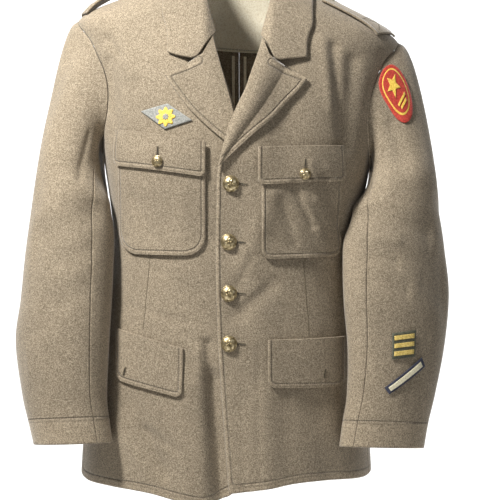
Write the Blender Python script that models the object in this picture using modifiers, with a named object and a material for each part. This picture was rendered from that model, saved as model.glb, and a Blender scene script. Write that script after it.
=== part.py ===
"""A four-pocket wool service coat, hollow and filled out as if worn, held at its neck.

Metres, +Z up. The front faces -Y and the wearer's left side is at +X. The origin is the middle of the neck
opening, level with the inner ends of the shoulder seams. The coat is cut from two fronts, two underarm side
panels, two backs, two-piece sleeves, a collar, turned-back lapels, shoulder straps, pockets and flaps.
"""

import math
from collections import namedtuple

import bmesh
import bpy
import numpy as np
from mathutils import Vector

# Driving dimensions of the cloth
WALL = 0.0020
GAP = 0.0003
LAID = 0.0009
SLEEVE_CLEAR = 0.0095

# Driving dimensions of the trimmings
FRONT_BUTTON_RADIUS = 0.01145
SMALL_BUTTON_RADIUS = 0.0083
BUTTON_RISE = 0.62
BUTTON_SIDES = 14
BUTTON_SEAT = 0.0008
# A button's outline from the middle of its dome to the middle of its back: shares of its radius and its rise
BUTTON_OUTLINE = ((0, 1), (0.45, 0.93), (0.80, 0.66), (1, 0.36), (1, 0.14), (0.86, 0), (0, 0))

# The body's level sections. down is the depth below the neck, square the exponent of the section's oval (2 is
# an ellipse), shift its centre's x, tilt how much a level line climbs for each metre towards +X.
Ring = namedtuple("Ring", "down half_width front back square shift tilt")
RINGS = [
    Ring(0.000, 0.0800, 0.056, 0.072, 2.0, 0.000, -0.068),
    Ring(0.040, 0.1480, 0.080, 0.090, 2.0, 0.000, -0.068),
    Ring(0.088, 0.2405, 0.100, 0.102, 2.1, 0.000, -0.068),
    Ring(0.130, 0.2340, 0.116, 0.110, 2.2, 0.000, -0.068),
    Ring(0.187, 0.2180, 0.131, 0.116, 2.3, 0.000, -0.068),
    Ring(0.285, 0.2010, 0.142, 0.117, 2.4, -0.003, -0.068),
    Ring(0.420, 0.1830, 0.137, 0.102, 2.3, -0.006, -0.068),
    Ring(0.560, 0.1980, 0.140, 0.108, 2.3, -0.011, -0.050),
    Ring(0.680, 0.2140, 0.142, 0.116, 2.3, -0.017, -0.015),
    Ring(0.790, 0.2210, 0.144, 0.120, 2.3, -0.018, 0.000),
]

# The front edges: the roll line above the break of the lapel, the buttoned edge below it. x of each front.
FrontEdge = namedtuple("FrontEdge", "down left right")
FRONT_EDGES = [
    FrontEdge(0.000, -0.0760, 0.0760),
    FrontEdge(0.035, -0.0650, 0.0670),
    FrontEdge(0.071, -0.0530, 0.0550),
    FrontEdge(0.120, -0.0350, 0.0370),
    FrontEdge(0.160, -0.0240, 0.0235),
    FrontEdge(0.194, -0.0125, 0.0120),
    FrontEdge(0.225, -0.0018, -0.0018),
    FrontEdge(0.254, 0.0050, -0.0130),
    FrontEdge(0.287, 0.0085, -0.0214),
    FrontEdge(0.312, 0.0095, -0.0270),
    FrontEdge(0.350, 0.0095, -0.0284),
    FrontEdge(0.550, 0.0095, -0.0264),
    FrontEdge(0.620, 0.0110, -0.0219),
    FrontEdge(0.709, 0.0150, -0.0152),
    FrontEdge(0.790, 0.0190, -0.0090),
]

# The hem's depth below the neck, by the angle from the centre front round to the centre back
Hem = namedtuple("Hem", "angle left right")
HEMS = [
    Hem(-3, 0.752, 0.757),
    Hem(0, 0.764, 0.757),
    Hem(3, 0.770, 0.755),
    Hem(12, 0.768, 0.750),
    Hem(25, 0.759, 0.744),
    Hem(45, 0.755, 0.745),
    Hem(66, 0.755, 0.749),
    Hem(90, 0.749, 0.747),
    Hem(180, 0.747, 0.747),
]
HEM_LEVEL = 0.757
HEM_SETTLES_FROM = 0.60

# The largest folds. A ridge stands out and a trough goes in (a negative height), from one end to the other,
# as seen from the front; those of the back are given as seen through the coat.
Fold = namedtuple("Fold", "face x0 z0 x1 z1 width height")
FOLDS = [
    Fold("front", -0.034, -0.600, -0.020, -0.775, 0.015, -0.0080),
    Fold("front", -0.068, -0.610, -0.062, -0.780, 0.022, 0.0060),
    Fold("front", -0.150, -0.640, -0.105, -0.720, 0.018, -0.0040),
    Fold("front", 0.165, -0.150, 0.155, -0.270, 0.013, -0.0050),
    Fold("front", -0.186, -0.150, -0.176, -0.250, 0.013, -0.0040),
    Fold("front", 0.050, -0.345, 0.010, -0.440, 0.016, 0.0030),
    Fold("front", 0.045, -0.470, 0.000, -0.510, 0.012, -0.0030),
    Fold("front", 0.040, -0.620, 0.048, -0.760, 0.020, 0.0040),
    Fold("front", 0.110, -0.640, 0.135, -0.745, 0.022, -0.0045),
    Fold("back", -0.150, -0.330, -0.060, -0.430, 0.020, -0.0045),
    Fold("back", 0.140, -0.310, 0.070, -0.420, 0.020, -0.0045),
    Fold("back", -0.085, -0.560, -0.100, -0.750, 0.026, 0.0060),
    Fold("back", 0.070, -0.540, 0.090, -0.745, 0.026, 0.0060),
    Fold("back", -0.010, -0.600, -0.015, -0.750, 0.022, -0.0050),
    Fold("back", -0.130, -0.110, -0.100, -0.250, 0.022, -0.0040),
    Fold("back", 0.130, -0.120, 0.105, -0.250, 0.022, -0.0040),
]

# The armhole: an oval round the sleeve seam, half its width as an angle and half its height
ARMHOLE_MIDDLE = 0.1865
ARMHOLE_HALF_HEIGHT = 0.0985
ARMHOLE_FRONT_ANGLE = 30.0
ARMHOLE_BACK_ANGLE = 27.0
ARMHOLE_BODY_RADIUS = 0.16
ARMHOLE_STEPS = 20
SIDE_SEAM_STEP = 8
SHOULDER_ROWS = 6
BODY_ROWS = 17
BENT_ROWS = 3
FRONT_COLUMNS = 12
BACK_COLUMNS = 9
SHOULDER_DEPTH = 0.130
SEAM_HALF_ANGLE = 0.060
RIDGE_HALF_ANGLE = 0.17

# Each sleeve's rings below its cap: centre, the climb of its outward axis, half width, half depth, how far
# the outward axis turns to the back and how far the sleeve pitches forwards. x is outwards on either side.
SleeveRing = namedtuple("SleeveRing", "x y z climb width depth turn pitch")
SLEEVES = {
    "right": [
        SleeveRing(0.2230, -0.050, -0.3550, 14, 0.0765, 0.062, 26, 8),
        SleeveRing(0.2235, -0.063, -0.3920, 9, 0.0800, 0.058, 28, 8),
        SleeveRing(0.2255, -0.075, -0.4320, 6, 0.0830, 0.054, 28, 8),
        SleeveRing(0.2284, -0.087, -0.4890, 2, 0.0840, 0.050, 26, 9),
        SleeveRing(0.2259, -0.101, -0.5570, 0, 0.0760, 0.044, 24, 9),
        SleeveRing(0.2172, -0.110, -0.6220, -2, 0.0670, 0.041, 20, 9),
        SleeveRing(0.2085, -0.117, -0.6600, -3, 0.0640, 0.039, 18, 9),
        SleeveRing(0.2020, -0.122, -0.6960, -4, 0.0622, 0.038, 16, 9),
    ],
    "left": [
        SleeveRing(0.2385, -0.051, -0.3480, 14, 0.0610, 0.063, 20, 7),
        SleeveRing(0.2405, -0.063, -0.3880, 9, 0.0630, 0.060, 20, 7),
        SleeveRing(0.2430, -0.074, -0.4360, 6, 0.0660, 0.057, 20, 8),
        SleeveRing(0.2460, -0.087, -0.4970, 2, 0.0680, 0.053, 20, 8),
        SleeveRing(0.2498, -0.096, -0.5530, 0, 0.0700, 0.049, 18, 8),
        SleeveRing(0.2450, -0.103, -0.6250, -2, 0.0625, 0.046, 16, 8),
        SleeveRing(0.2380, -0.109, -0.6600, -3, 0.0590, 0.045, 14, 8),
        SleeveRing(0.2310, -0.114, -0.6920, -4, 0.0570, 0.044, 14, 8),
    ],
}
# The cap runs on curves from the sleeve seam to the first ring: how far they leave the seam outwards and how
# far they rise from the ring, at the shoulder and at the underarm
CAP_RINGS = 6
CAP_OUT = (0.024, 0.010)
CAP_RISE = (0.135, 0.030)
CAP_RELAX = 0.9
CAP_PASSES = 12
NORMAL_PASSES = 7
UNDERARM_TURN = 19.0
UNDERARM_STEP = 12.0
UNDERARM_SPREAD = 2.6
TOP_SLEEVE_BACK = -6
TOP_SLEEVE_FRONT = 8

# The largest folds of the sleeves: from one end to the other, as steps round the sleeve from its outer side
# towards the front, and as rings down it
SleeveFold = namedtuple("SleeveFold", "side step0 ring0 step1 ring1 width height")
SLEEVE_FOLDS = [
    SleeveFold("right", 8.5, 6.2, 4.0, 7.4, 0.55, -0.0050),
    SleeveFold("right", 8.0, 7.6, 3.0, 8.6, 0.55, -0.0040),
    SleeveFold("right", 7.0, 4.4, 3.0, 5.6, 0.70, 0.0040),
    SleeveFold("right", 12.0, 6.4, 15.0, 7.6, 0.60, -0.0050),
    SleeveFold("right", 5.0, 2.6, 5.4, 4.4, 0.70, -0.0040),
    SleeveFold("left", 8.0, 6.4, 4.0, 7.6, 0.60, -0.0040),
    SleeveFold("left", 7.0, 4.2, 3.4, 5.8, 0.70, -0.0035),
    SleeveFold("left", 12.0, 6.2, 15.0, 7.4, 0.60, -0.0050),
    SleeveFold("left", 2.4, 1.4, 2.2, 3.2, 0.80, -0.0045),
]

# Each lapel from its break up to its tip: the outer edge on the chest, and the roll line it turns back on
LapelRow = namedtuple("LapelRow", "roll_x roll_z edge_x edge_z rise")
LAPELS = {
    "right": [
        LapelRow(-0.0250, -0.3060, -0.0225, -0.3030, 0.15),
        LapelRow(-0.0190, -0.2820, 0.0000, -0.2820, 0.50),
        LapelRow(-0.0110, -0.2560, 0.0255, -0.2585, 0.80),
        LapelRow(0.0000, -0.2280, 0.0480, -0.2390, 1.00),
        LapelRow(0.0110, -0.2000, 0.0700, -0.2140, 1.00),
        LapelRow(0.0200, -0.1720, 0.0870, -0.1960, 1.00),
        LapelRow(0.0290, -0.1450, 0.0973, -0.1815, 1.00),
    ],
    "left": [
        LapelRow(0.0050, -0.2700, -0.0120, -0.2730, 0.05),
        LapelRow(0.0025, -0.2550, -0.0290, -0.2600, 0.08),
        LapelRow(-0.0035, -0.2330, -0.0480, -0.2430, 0.15),
        LapelRow(-0.0100, -0.2080, -0.0660, -0.2246, 0.50),
        LapelRow(-0.0165, -0.1850, -0.0810, -0.2050, 0.90),
        LapelRow(-0.0230, -0.1620, -0.0920, -0.1890, 1.00),
        LapelRow(-0.0290, -0.1400, -0.1009, -0.1758, 1.00),
    ],
}
# The top of each lapel: the gorge on the roll line and the notch
LAPEL_TOPS = {"right": (0.0345, -0.1240, 0.0475, -0.1635), "left": (-0.0335, -0.1210, -0.0530, -0.1595)}
LAPEL_COLUMNS = 5
LAPEL_NOTCH_COLUMN = 2
LAPEL_THICK = 0.0024
LAPEL_LIFT = {"right": 0.0015, "left": 0.0012}
LAPEL_ROLL = 0.0055
LAPEL_ROLL_START = 0.12
LAPEL_ROLL_RATE = 1.6

# The collar from its front end round to the middle of the back: where it stands on the neck seam (on the
# front edge at a depth, or round the top ring at an angle), its roll, and where its edge lies on the body
CollarRow = namedtuple("CollarRow", "around seam_down seam_angle roll_x roll_y roll_z edge_angle edge_down")
COLLAR = [
    CollarRow(0.00, 0.117, 72.0, 0.0335, -0.1095, -0.1160, 22.5, 0.143),
    CollarRow(0.16, 0.080, 72.0, 0.0440, -0.0980, -0.0740, 23.5, 0.103),
    CollarRow(0.34, 0.040, 71.0, 0.0550, -0.0780, -0.0280, 33.0, 0.062),
    CollarRow(0.46, 0.000, 70.2, 0.0630, -0.0500, 0.0060, 51.0, 0.036),
    CollarRow(0.57, 0.000, 84.0, 0.0665, -0.0240, 0.0240, 74.0, 0.021),
    CollarRow(0.71, 0.000, 108.0, 0.0650, 0.0180, 0.0320, 108.0, 0.017),
    CollarRow(0.82, 0.000, 138.0, 0.0440, 0.0490, 0.0350, 135.0, 0.020),
    CollarRow(0.92, 0.000, 160.0, 0.0220, 0.0630, 0.0360, 158.0, 0.022),
    CollarRow(1.00, 0.000, 180.0, 0.0000, 0.0670, 0.0365, 180.0, 0.022),
]
# From the roll to the outer edge: the share of the way, how much of the roll is left there, and how far each
# side's front end reaches outwards and down from the straight line, to meet the lapel at the notch
CollarFall = namedtuple("CollarFall", "share rise right_out right_down left_out left_down")
COLLAR_FALL = [
    CollarFall(0.10, 1.1, 0.0016, 0.0140, 0.0046, 0.0190),
    CollarFall(0.28, 1.0, 0.0004, 0.0310, 0.0056, 0.0350),
    CollarFall(0.62, 0.5, -0.0010, 0.0180, 0.0021, 0.0250),
    CollarFall(1.00, 0.0, 0.0000, 0.0000, 0.0000, 0.0070),
]
COLLAR_END = 0.16
COLLAR_THICK = 0.0024
COLLAR_ROLL = 0.0045
COLLAR_LIFT = 0.0034
COLLAR_SEAT = 0.0009
COLLAR_ON_RING = 0.001

# Pockets and flaps, laid on the fronts: the four corners as seen from the front, the lower corners' radius
Laid = namedtuple("Laid", "left right top_left top_right low_left low_right radius lift thick")
CHEST_POCKETS = {
    "left": Laid(-0.1690, -0.0430, -0.2900, -0.3100, -0.4255, -0.4285, 0.030, 0.0014, 0.0024),
    "right": Laid(0.0330, 0.1460, -0.3170, -0.3120, -0.4330, -0.4290, 0.014, 0.0014, 0.0024),
}
CHEST_FLAPS = {
    "left": Laid(-0.1725, -0.0425, -0.2480, -0.2715, -0.2985, -0.3195, 0.009, 0.0050, 0.0024),
    "right": Laid(0.0280, 0.1490, -0.2790, -0.2725, -0.3300, -0.3225, 0.009, 0.0050, 0.0024),
}
LOWER_FLAPS = {
    "left": Laid(-0.1720, -0.0740, -0.5310, -0.5560, -0.6035, -0.6245, 0.012, LAID, 0.0034),
    "right": Laid(0.0415, 0.1510, -0.5440, -0.5430, -0.6100, -0.6140, 0.012, LAID, 0.0034),
}

# The turned-back lining at the back of the neck
YOKE_DEPTH = 0.098
YOKE_ANGLE = 50.0
YOKE_CLEAR = 0.0008
YOKE_THICK = 0.0012
YOKE_TOP = 0.03
YOKE_BOW = 0.25
YOKE_ROWS = 5
YOKE_COLUMNS = 12

# Shoulder straps: along the shoulder from the sleeve seam to the pointed end by the collar. Each one's middle
# lies forward of the shoulder's ridge by its own amount, and the left one has sprung up off the shoulder.
Strap = namedtuple("Strap", "middle lift")
STRAPS = {"right": Strap(-0.036, 0.0014), "left": Strap(-0.014, 0.0110)}
STRAP_OUTER = 0.2365
STRAP_SEAM_BOW = 9.5
STRAP_INNER = 0.1130
STRAP_HALF_WIDTH = 0.0245
STRAP_TAPER = 0.16
STRAP_POINT = 0.010
STRAP_POINT_FROM = 0.8
STRAP_ACROSS = (-1, -0.55, 0, 0.55, 1)
STRAP_ROWS = 8
STRAP_THICK = 0.0030
STRAP_BASE = 0.0010
STRAP_BUTTON_IN = 0.021
STRAP_BUTTON_LIFT = 0.0014

# Buttons: the four of the front, then those of the chest pockets and the straps
FRONT_BUTTONS = [(-0.0085, -0.3287), (-0.0115, -0.4088), (-0.0112, -0.4800), (-0.0112, -0.5491)]
CHEST_BUTTONS = {"left": (-0.1079, -0.2969), "right": (0.0920, -0.3145)}
BUTTON_SLOPE_STEP = 0.006

# The lozenge on the left chest: its left, top, right and low corners
LOZENGE = ((-0.1351, -0.2253), (-0.0967, -0.2162), (-0.0619, -0.2407), (-0.1002, -0.2525))

# The patches of the right sleeve: an oval at the shoulder, the bars and the slanted stripe above the cuff.
# radius rounds the corners above and below the flat share of the height, slant turns the patch in degrees.
PATCH_LIFT = 0.0012
PATCH_THICK = 0.0012
PATCH_ROWS = 6
PATCH_COLUMNS = 5
PATCH_LEAST_WIDTH = 0.08
SleevePatch = namedtuple("SleevePatch", "x z width height radius flat slant")
SHOULDER_PATCH = SleevePatch(0.2290, -0.1850, 0.060, 0.080, 0.026, 0.35, 0)
BAR_PATCH = SleevePatch(0.2290, -0.5510, 0.035, 0.037, 0.0, 0.99, 4)
STRIPE_PATCH = SleevePatch(0.2310, -0.5960, 0.014, 0.062, 0.0, 0.99, -52)

# Where the right front laps over the left one: x at which the lap starts to fade and over what width, and the
# depths at which it starts, starts to clear the left lapel and is past it, each with the length it takes
LAP_EDGE = 0.020
LAP_FADE = 0.055
LAP_LIFT = WALL + 0.0020
LAP_START = (0.10, 0.06)
LAPEL_LAP_LIFT = 0.0080
LAPEL_LAP_START = (0.15, 0.04)
LAPEL_LAP_END = (0.285, 0.045)

collection = bpy.data.collections.new("service_coat")


# Shared helpers

def along(rows, column, at):
    """A table's column at any place of its first column, on a smooth curve through the rows."""
    places = np.array([row[0] for row in rows], float)
    values = np.array([getattr(row, column) for row in rows], float)
    at = min(max(at, places[0]), places[-1])
    slopes = np.gradient(values, places)
    index = min(int(np.searchsorted(places, at, side="right")) - 1, len(places) - 2)
    step = places[index + 1] - places[index]
    share = (at - places[index]) / step
    start = (1 + 2 * share) * (1 - share) ** 2
    lean_in = share * (1 - share) ** 2 * step
    lean_out = share**2 * (share - 1) * step
    end = share**2 * (3 - 2 * share)
    lean = lean_in * slopes[index] + lean_out * slopes[index + 1]
    return float(start * values[index] + end * values[index + 1] + lean)


def ease(share):
    """A share that leaves 0 and meets 1 gently."""
    share = min(max(share, 0.0), 1.0)
    return share * share * (3 - 2 * share)


def signed_power(value, power):
    return math.copysign(abs(value) ** power, value)


def body_point(angle, down):
    """The smooth body without its folds."""
    square = 2.0 / along(RINGS, "square", down)
    depth = along(RINGS, "front" if abs(angle) < 90 else "back", down)
    x = signed_power(math.sin(math.radians(angle)), square) * along(RINGS, "half_width", down)
    x += along(RINGS, "shift", down)
    y = -signed_power(math.cos(math.radians(angle)), square) * depth
    return Vector((x, y, along(RINGS, "tilt", down) * x - down))


def body_normal(angle, down):
    turn = 0.6
    drop = 0.003
    across = body_point(angle + turn, down) - body_point(angle - turn, down)
    upwards = max(down - drop, 0.0)
    downwards = body_point(angle, upwards + 2 * drop) - body_point(angle, upwards)
    return downwards.cross(across).normalized()


def fold_height(point, face):
    """The folds' height above the smooth body at a point of the front or the back."""
    total = 0.0
    for fold in FOLDS:
        if fold.face != face:
            continue
        run = Vector((fold.x1 - fold.x0, fold.z1 - fold.z0))
        away = Vector((point.x - fold.x0, point.z - fold.z0))
        share = min(max(away.dot(run) / run.length_squared, 0.0), 1.0)
        total += fold.height * math.exp(-(((away - run * share).length / fold.width) ** 2))
    return total


def lap_height(x, down):
    """How far the right front stands off, to lie over the left front and its lapel."""
    beside = 1 - ease((x - LAP_EDGE) / LAP_FADE)
    started = ease((down - LAP_START[0]) / LAP_START[1])
    on_lapel = ease((down - LAPEL_LAP_START[0]) / LAPEL_LAP_START[1])
    past_lapel = ease((down - LAPEL_LAP_END[0]) / LAPEL_LAP_END[1])
    return beside * started * (LAP_LIFT + (LAPEL_LAP_LIFT - LAP_LIFT) * on_lapel * (1 - past_lapel))


def body(angle, down, out=0.0, lapped=False):
    """A point of the folded body, moved out along its normal."""
    point = body_point(angle, down)
    face = "front" if abs(angle) < 90 else "back"
    out += fold_height(point, face) * ease(abs(math.cos(math.radians(angle))) * 2)
    if lapped:
        out += lap_height(point.x, down)
    return point + body_normal(angle, down) * out


def angle_of(x, down):
    """The angle from the centre front at which a level section reaches x."""
    square = along(RINGS, "square", down)
    share = (x - along(RINGS, "shift", down)) / along(RINGS, "half_width", down)
    share = min(max(share, -1.0), 1.0)
    return math.degrees(math.asin(signed_power(share, square / 2)))


def on_front(x, z, out=0.0, lapped=False):
    """The point of a front seen at x and z."""
    down = -z
    for _ in range(3):
        down = along(RINGS, "tilt", down) * x - z
    return body(angle_of(x, down), down, out, lapped)


def top_of(x, y):
    """The depth below the neck at which the smooth shoulder has x and y."""
    high, low = 0.0, SHOULDER_DEPTH
    for _ in range(40):
        middle = (high + low) / 2
        square = along(RINGS, "square", middle)
        depth = along(RINGS, "front" if y < 0 else "back", middle)
        reach = abs(x / along(RINGS, "half_width", middle)) ** square + abs(y / depth) ** square
        if reach > 1:
            high = middle
        else:
            low = middle
    return low


def on_shoulder(x, y, out):
    """The point of the shoulder seen from above at x and y."""
    down = top_of(x, y)
    angle = angle_of(x, down)
    if y > 0:
        angle = math.copysign(180, x) - angle
    return body_point(angle, down) + body_normal(angle, down) * out


def reach_of(point):
    """How far out from the body's axis a point is, with 1 on the smooth body."""
    down = along(RINGS, "tilt", -point.z) * point.x - point.z
    square = along(RINGS, "square", down)
    depth = along(RINGS, "front" if point.y < 0 else "back", down)
    beside = abs(point.x - along(RINGS, "shift", down)) / along(RINGS, "half_width", down)
    return (beside**square + abs(point.y / depth) ** square) ** (1 / square)


def keep_off(point, clear):
    """A point, moved out where it is nearer than this to the smooth body."""
    nudge = 0.001
    for _ in range(4):
        here = reach_of(point)
        steps = [Vector((nudge, 0, 0)), Vector((0, nudge, 0)), Vector((0, 0, nudge))]
        slope = Vector([(reach_of(point + step) - here) / nudge for step in steps])
        short = clear - (here - 1) / slope.length
        if short <= 0:
            break
        point = point + slope.normalized() * short
    return point


def finish(name, colour, roughness, metallic=0.0):
    """One material, made once and then shared."""
    material = bpy.data.materials.get(name)
    if material is None:
        material = bpy.data.materials.new(name)
        material.use_nodes = True
        shader = material.node_tree.nodes["Principled BSDF"]
        shader.inputs["Base Color"].default_value = (*colour, 1.0)
        shader.inputs["Roughness"].default_value = roughness
        shader.inputs["Metallic"].default_value = metallic
    return material


def wool():
    return finish("olive_wool", (0.235, 0.200, 0.135), 0.9)


def brass():
    return finish("gilt_brass", (0.80, 0.60, 0.22), 0.35, 1.0)


def place(mesh, name, material):
    part = bpy.data.objects.new(name, mesh)
    part.data.materials.append(material)
    collection.objects.link(part)
    return part


def wall(name, outer, inner, material, closed=False):
    """A cloth wall between two grids of points, rims included. closed joins its last column to its first."""
    mesh = bpy.data.meshes.new(name)
    work = bmesh.new()
    sheets = [[[work.verts.new(point) for point in row] for row in grid] for grid in (outer, inner)]
    front, back = sheets
    rows = len(outer)
    columns = len(outer[0])
    across = columns if closed else columns - 1
    for i in range(rows - 1):
        for j in range(across):
            k = (j + 1) % columns
            work.faces.new((front[i][j], front[i][k], front[i + 1][k], front[i + 1][j]))
            work.faces.new((back[i][j], back[i + 1][j], back[i + 1][k], back[i][k]))
    for i in (0, rows - 1):
        for j in range(across):
            k = (j + 1) % columns
            work.faces.new((front[i][j], back[i][j], back[i][k], front[i][k]))
    if not closed:
        for j in (0, columns - 1):
            for i in range(rows - 1):
                work.faces.new((front[i][j], front[i + 1][j], back[i + 1][j], back[i][j]))
    bmesh.ops.recalc_face_normals(work, faces=work.faces)
    work.to_mesh(mesh)
    work.free()
    mesh.shade_smooth()
    mesh.set_sharp_from_angle(angle=math.radians(50))
    return place(mesh, name, material)


def grid_normals(grid):
    """The normal of each point of a grid, from its neighbours."""
    normals = []
    for i, row in enumerate(grid):
        line = []
        for j, _ in enumerate(row):
            across = row[min(j + 1, len(row) - 1)] - row[max(j - 1, 0)]
            downwards = grid[min(i + 1, len(grid) - 1)][j] - grid[max(i - 1, 0)][j]
            line.append(across.cross(downwards).normalized())
        normals.append(line)
    return normals


def spread(start, end, count):
    return [start + (end - start) * index / count for index in range(count + 1)]


# The body: fronts, side panels and backs

def armhole(step, side, grow):
    """The angle and depth of a point of the sleeve seam, counted from the shoulder towards the front."""
    turn = math.radians(360 * step / ARMHOLE_STEPS)
    wide = ARMHOLE_FRONT_ANGLE if math.sin(turn) > 0 else ARMHOLE_BACK_ANGLE
    angle = 90 - (wide + math.degrees(grow / ARMHOLE_BODY_RADIUS)) * math.sin(turn)
    down = ARMHOLE_MIDDLE - (ARMHOLE_HALF_HEIGHT + grow) * math.cos(turn)
    return side * angle, down


def hem_depth(side, angle, down):
    """The depth of a point of a level row, moved with the hem where the skirt settles."""
    table = "right" if side > 0 else "left"
    share = ease((down - HEM_SETTLES_FROM) / (HEM_LEVEL - HEM_SETTLES_FROM))
    return down + share * (along(HEMS, table, angle * side) - HEM_LEVEL)


def skirt_rows():
    """The depths of the rows from the underarm end of the side seams down to the hem."""
    top = armhole(SIDE_SEAM_STEP, 1, GAP / 2)[1]
    return spread(top, HEM_LEVEL, BODY_ROWS)


def shoulder_rows():
    top = armhole(0, 1, GAP / 2)[1]
    return spread(GAP, top, SHOULDER_ROWS)[:-1]


def body_wall(name, rows, lapped=False):
    """A panel from rows of angles and depths."""
    outer = [[body(angle, down, 0.0, lapped) for angle, down in row] for row in rows]
    inner = [[body(angle, down, -WALL, lapped) for angle, down in row] for row in rows]
    return wall(name, outer, inner, wool())


def make_front(name, side, table):
    """A front: shoulder seam, sleeve seam, side seam, hem and buttoned edge."""
    rows = []

    def add(down, end):
        edge = angle_of(along(FRONT_EDGES, table, down), down)
        rows.append([(angle, hem_depth(side, angle, down)) for angle in spread(edge, end, FRONT_COLUMNS)])

    for down in shoulder_rows():
        add(down, side * (90 - RIDGE_HALF_ANGLE))
    for step in range(SIDE_SEAM_STEP):
        angle, down = armhole(step, side, GAP / 2)
        add(down, angle if step else side * (90 - RIDGE_HALF_ANGLE))
    seam = side * (abs(armhole(SIDE_SEAM_STEP, side, 0)[0]) - SEAM_HALF_ANGLE)
    for down in skirt_rows():
        add(down, seam)
    return body_wall(name, rows, lapped=side > 0)


def make_side(name, side):
    """An underarm panel between the front and the back."""
    last_step = ARMHOLE_STEPS - SIDE_SEAM_STEP
    tops = [armhole(step, side, GAP / 2) for step in range(SIDE_SEAM_STEP, last_step + 1)]
    first = armhole(SIDE_SEAM_STEP, side, 0)[0]
    last = armhole(last_step, side, 0)[0]
    angles = [angle for angle, _ in tops]
    angles[0] = first + side * SEAM_HALF_ANGLE
    angles[-1] = last - side * SEAM_HALF_ANGLE
    rows = []
    levels = skirt_rows()
    for index, level in enumerate(levels):
        row = []
        for angle, (_, top) in zip(angles, tops):
            bent = top + (levels[BENT_ROWS] - top) * index / BENT_ROWS
            row.append((angle, hem_depth(side, angle, bent if index < BENT_ROWS else level)))
        rows.append(row)
    return body_wall(name, rows)


def make_back(name, side):
    """A back: neck, shoulder seam, sleeve seam, side seam, hem and centre seam."""
    centre = side * (180 - SEAM_HALF_ANGLE)
    starts = []
    for down in shoulder_rows():
        starts.append((down, side * (90 + RIDGE_HALF_ANGLE)))
    for step in range(SIDE_SEAM_STEP):
        angle, down = armhole(ARMHOLE_STEPS - step, side, GAP / 2)
        starts.append((down, angle if step else side * (90 + RIDGE_HALF_ANGLE)))
    seam = armhole(ARMHOLE_STEPS - SIDE_SEAM_STEP, side, 0)[0] + side * SEAM_HALF_ANGLE
    for down in skirt_rows():
        starts.append((down, seam))
    rows = []
    for down, start in starts:
        rows.append([(angle, hem_depth(side, angle, down)) for angle in spread(start, centre, BACK_COLUMNS)])
    return body_wall(name, rows)


# Sleeves

def sleeve_point(ring, step, side):
    shifted = UNDERARM_TURN * math.exp(-(((step - UNDERARM_STEP) / UNDERARM_SPREAD) ** 2))
    turn = math.radians(360 * step / ARMHOLE_STEPS + shifted)
    climb = math.radians(ring.climb)
    yaw = math.radians(ring.turn)
    pitch = math.radians(ring.pitch)
    outwards = Vector((math.cos(climb) * math.cos(yaw), math.cos(climb) * math.sin(yaw), math.sin(climb)))
    backwards = Vector((-math.sin(yaw), math.cos(yaw) * math.cos(pitch), -math.sin(pitch)))
    point = Vector((ring.x, ring.y, ring.z))
    point += outwards * ring.width * math.cos(turn) - backwards * ring.depth * math.sin(turn)
    return keep_off(Vector((point.x * side, point.y, point.z)), SLEEVE_CLEAR)


def sleeve_fold_height(name, step, ring):
    total = 0.0
    for fold in SLEEVE_FOLDS:
        if fold.side != name:
            continue
        run = Vector((fold.step1 - fold.step0, fold.ring1 - fold.ring0))
        away = Vector((step - fold.step0, ring - fold.ring0))
        share = min(max(away.dot(run) / run.length_squared, 0.0), 1.0)
        total += fold.height * math.exp(-(((away - run * share).length / fold.width) ** 2))
    return total


def cap_rows(seam, first, second):
    """The rings of the cap, on curves from the sleeve seam to the first ring."""
    rows = []
    for share in spread(0, 1, CAP_RINGS)[1:-1]:
        row = []
        for step in range(ARMHOLE_STEPS):
            high = (1 + math.cos(math.radians(360 * step / ARMHOLE_STEPS))) / 2
            start, end = seam[step], first[step]
            away = Vector((math.copysign(1, end.x), 0, 0)) * (CAP_OUT[1] + (CAP_OUT[0] - CAP_OUT[1]) * high)
            rise = (end - second[step]).normalized() * (CAP_RISE[1] + (CAP_RISE[0] - CAP_RISE[1]) * high**1.5)
            rest = 1 - share
            point = start * rest**3 + (start + away) * 3 * share * rest**2
            point += (end + rise) * 3 * share**2 * rest + end * share**3
            row.append(point)
        rows.append(row)
    return rows


def evened(normals):
    """The normals of a tube, each turned towards its four neighbours'."""
    result = []
    last = len(normals) - 1
    for i, row in enumerate(normals):
        result.append([])
        for j, normal in enumerate(row):
            beside = row[j - 1] + row[(j + 1) % len(row)]
            above_and_below = normals[max(i - 1, 0)][j] + normals[min(i + 1, last)][j]
            result[-1].append((normal + beside + above_and_below).normalized())
    return result


def relaxed(grid):
    """The grid with the rows of the cap drawn towards their neighbours, most at the underarm."""
    for _ in range(CAP_PASSES):
        eased = [list(row) for row in grid]
        for i in range(1, CAP_RINGS - 1):
            for j in range(ARMHOLE_STEPS):
                low = (1 - math.cos(math.radians(360 * j / ARMHOLE_STEPS))) / 2
                around = (grid[i][j - 1] + grid[i][(j + 1) % ARMHOLE_STEPS]) / 2
                along_it = (grid[i - 1][j] + grid[i + 1][j]) / 2
                eased[i][j] = grid[i][j].lerp((around + along_it) / 2, CAP_RELAX * low**2)
        grid = eased
    for i in range(1, CAP_RINGS - 1):
        clear = SLEEVE_CLEAR * ease(3 * i / (CAP_RINGS - 1))
        grid[i] = [keep_off(point, clear) for point in grid[i]]
    return grid


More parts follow.
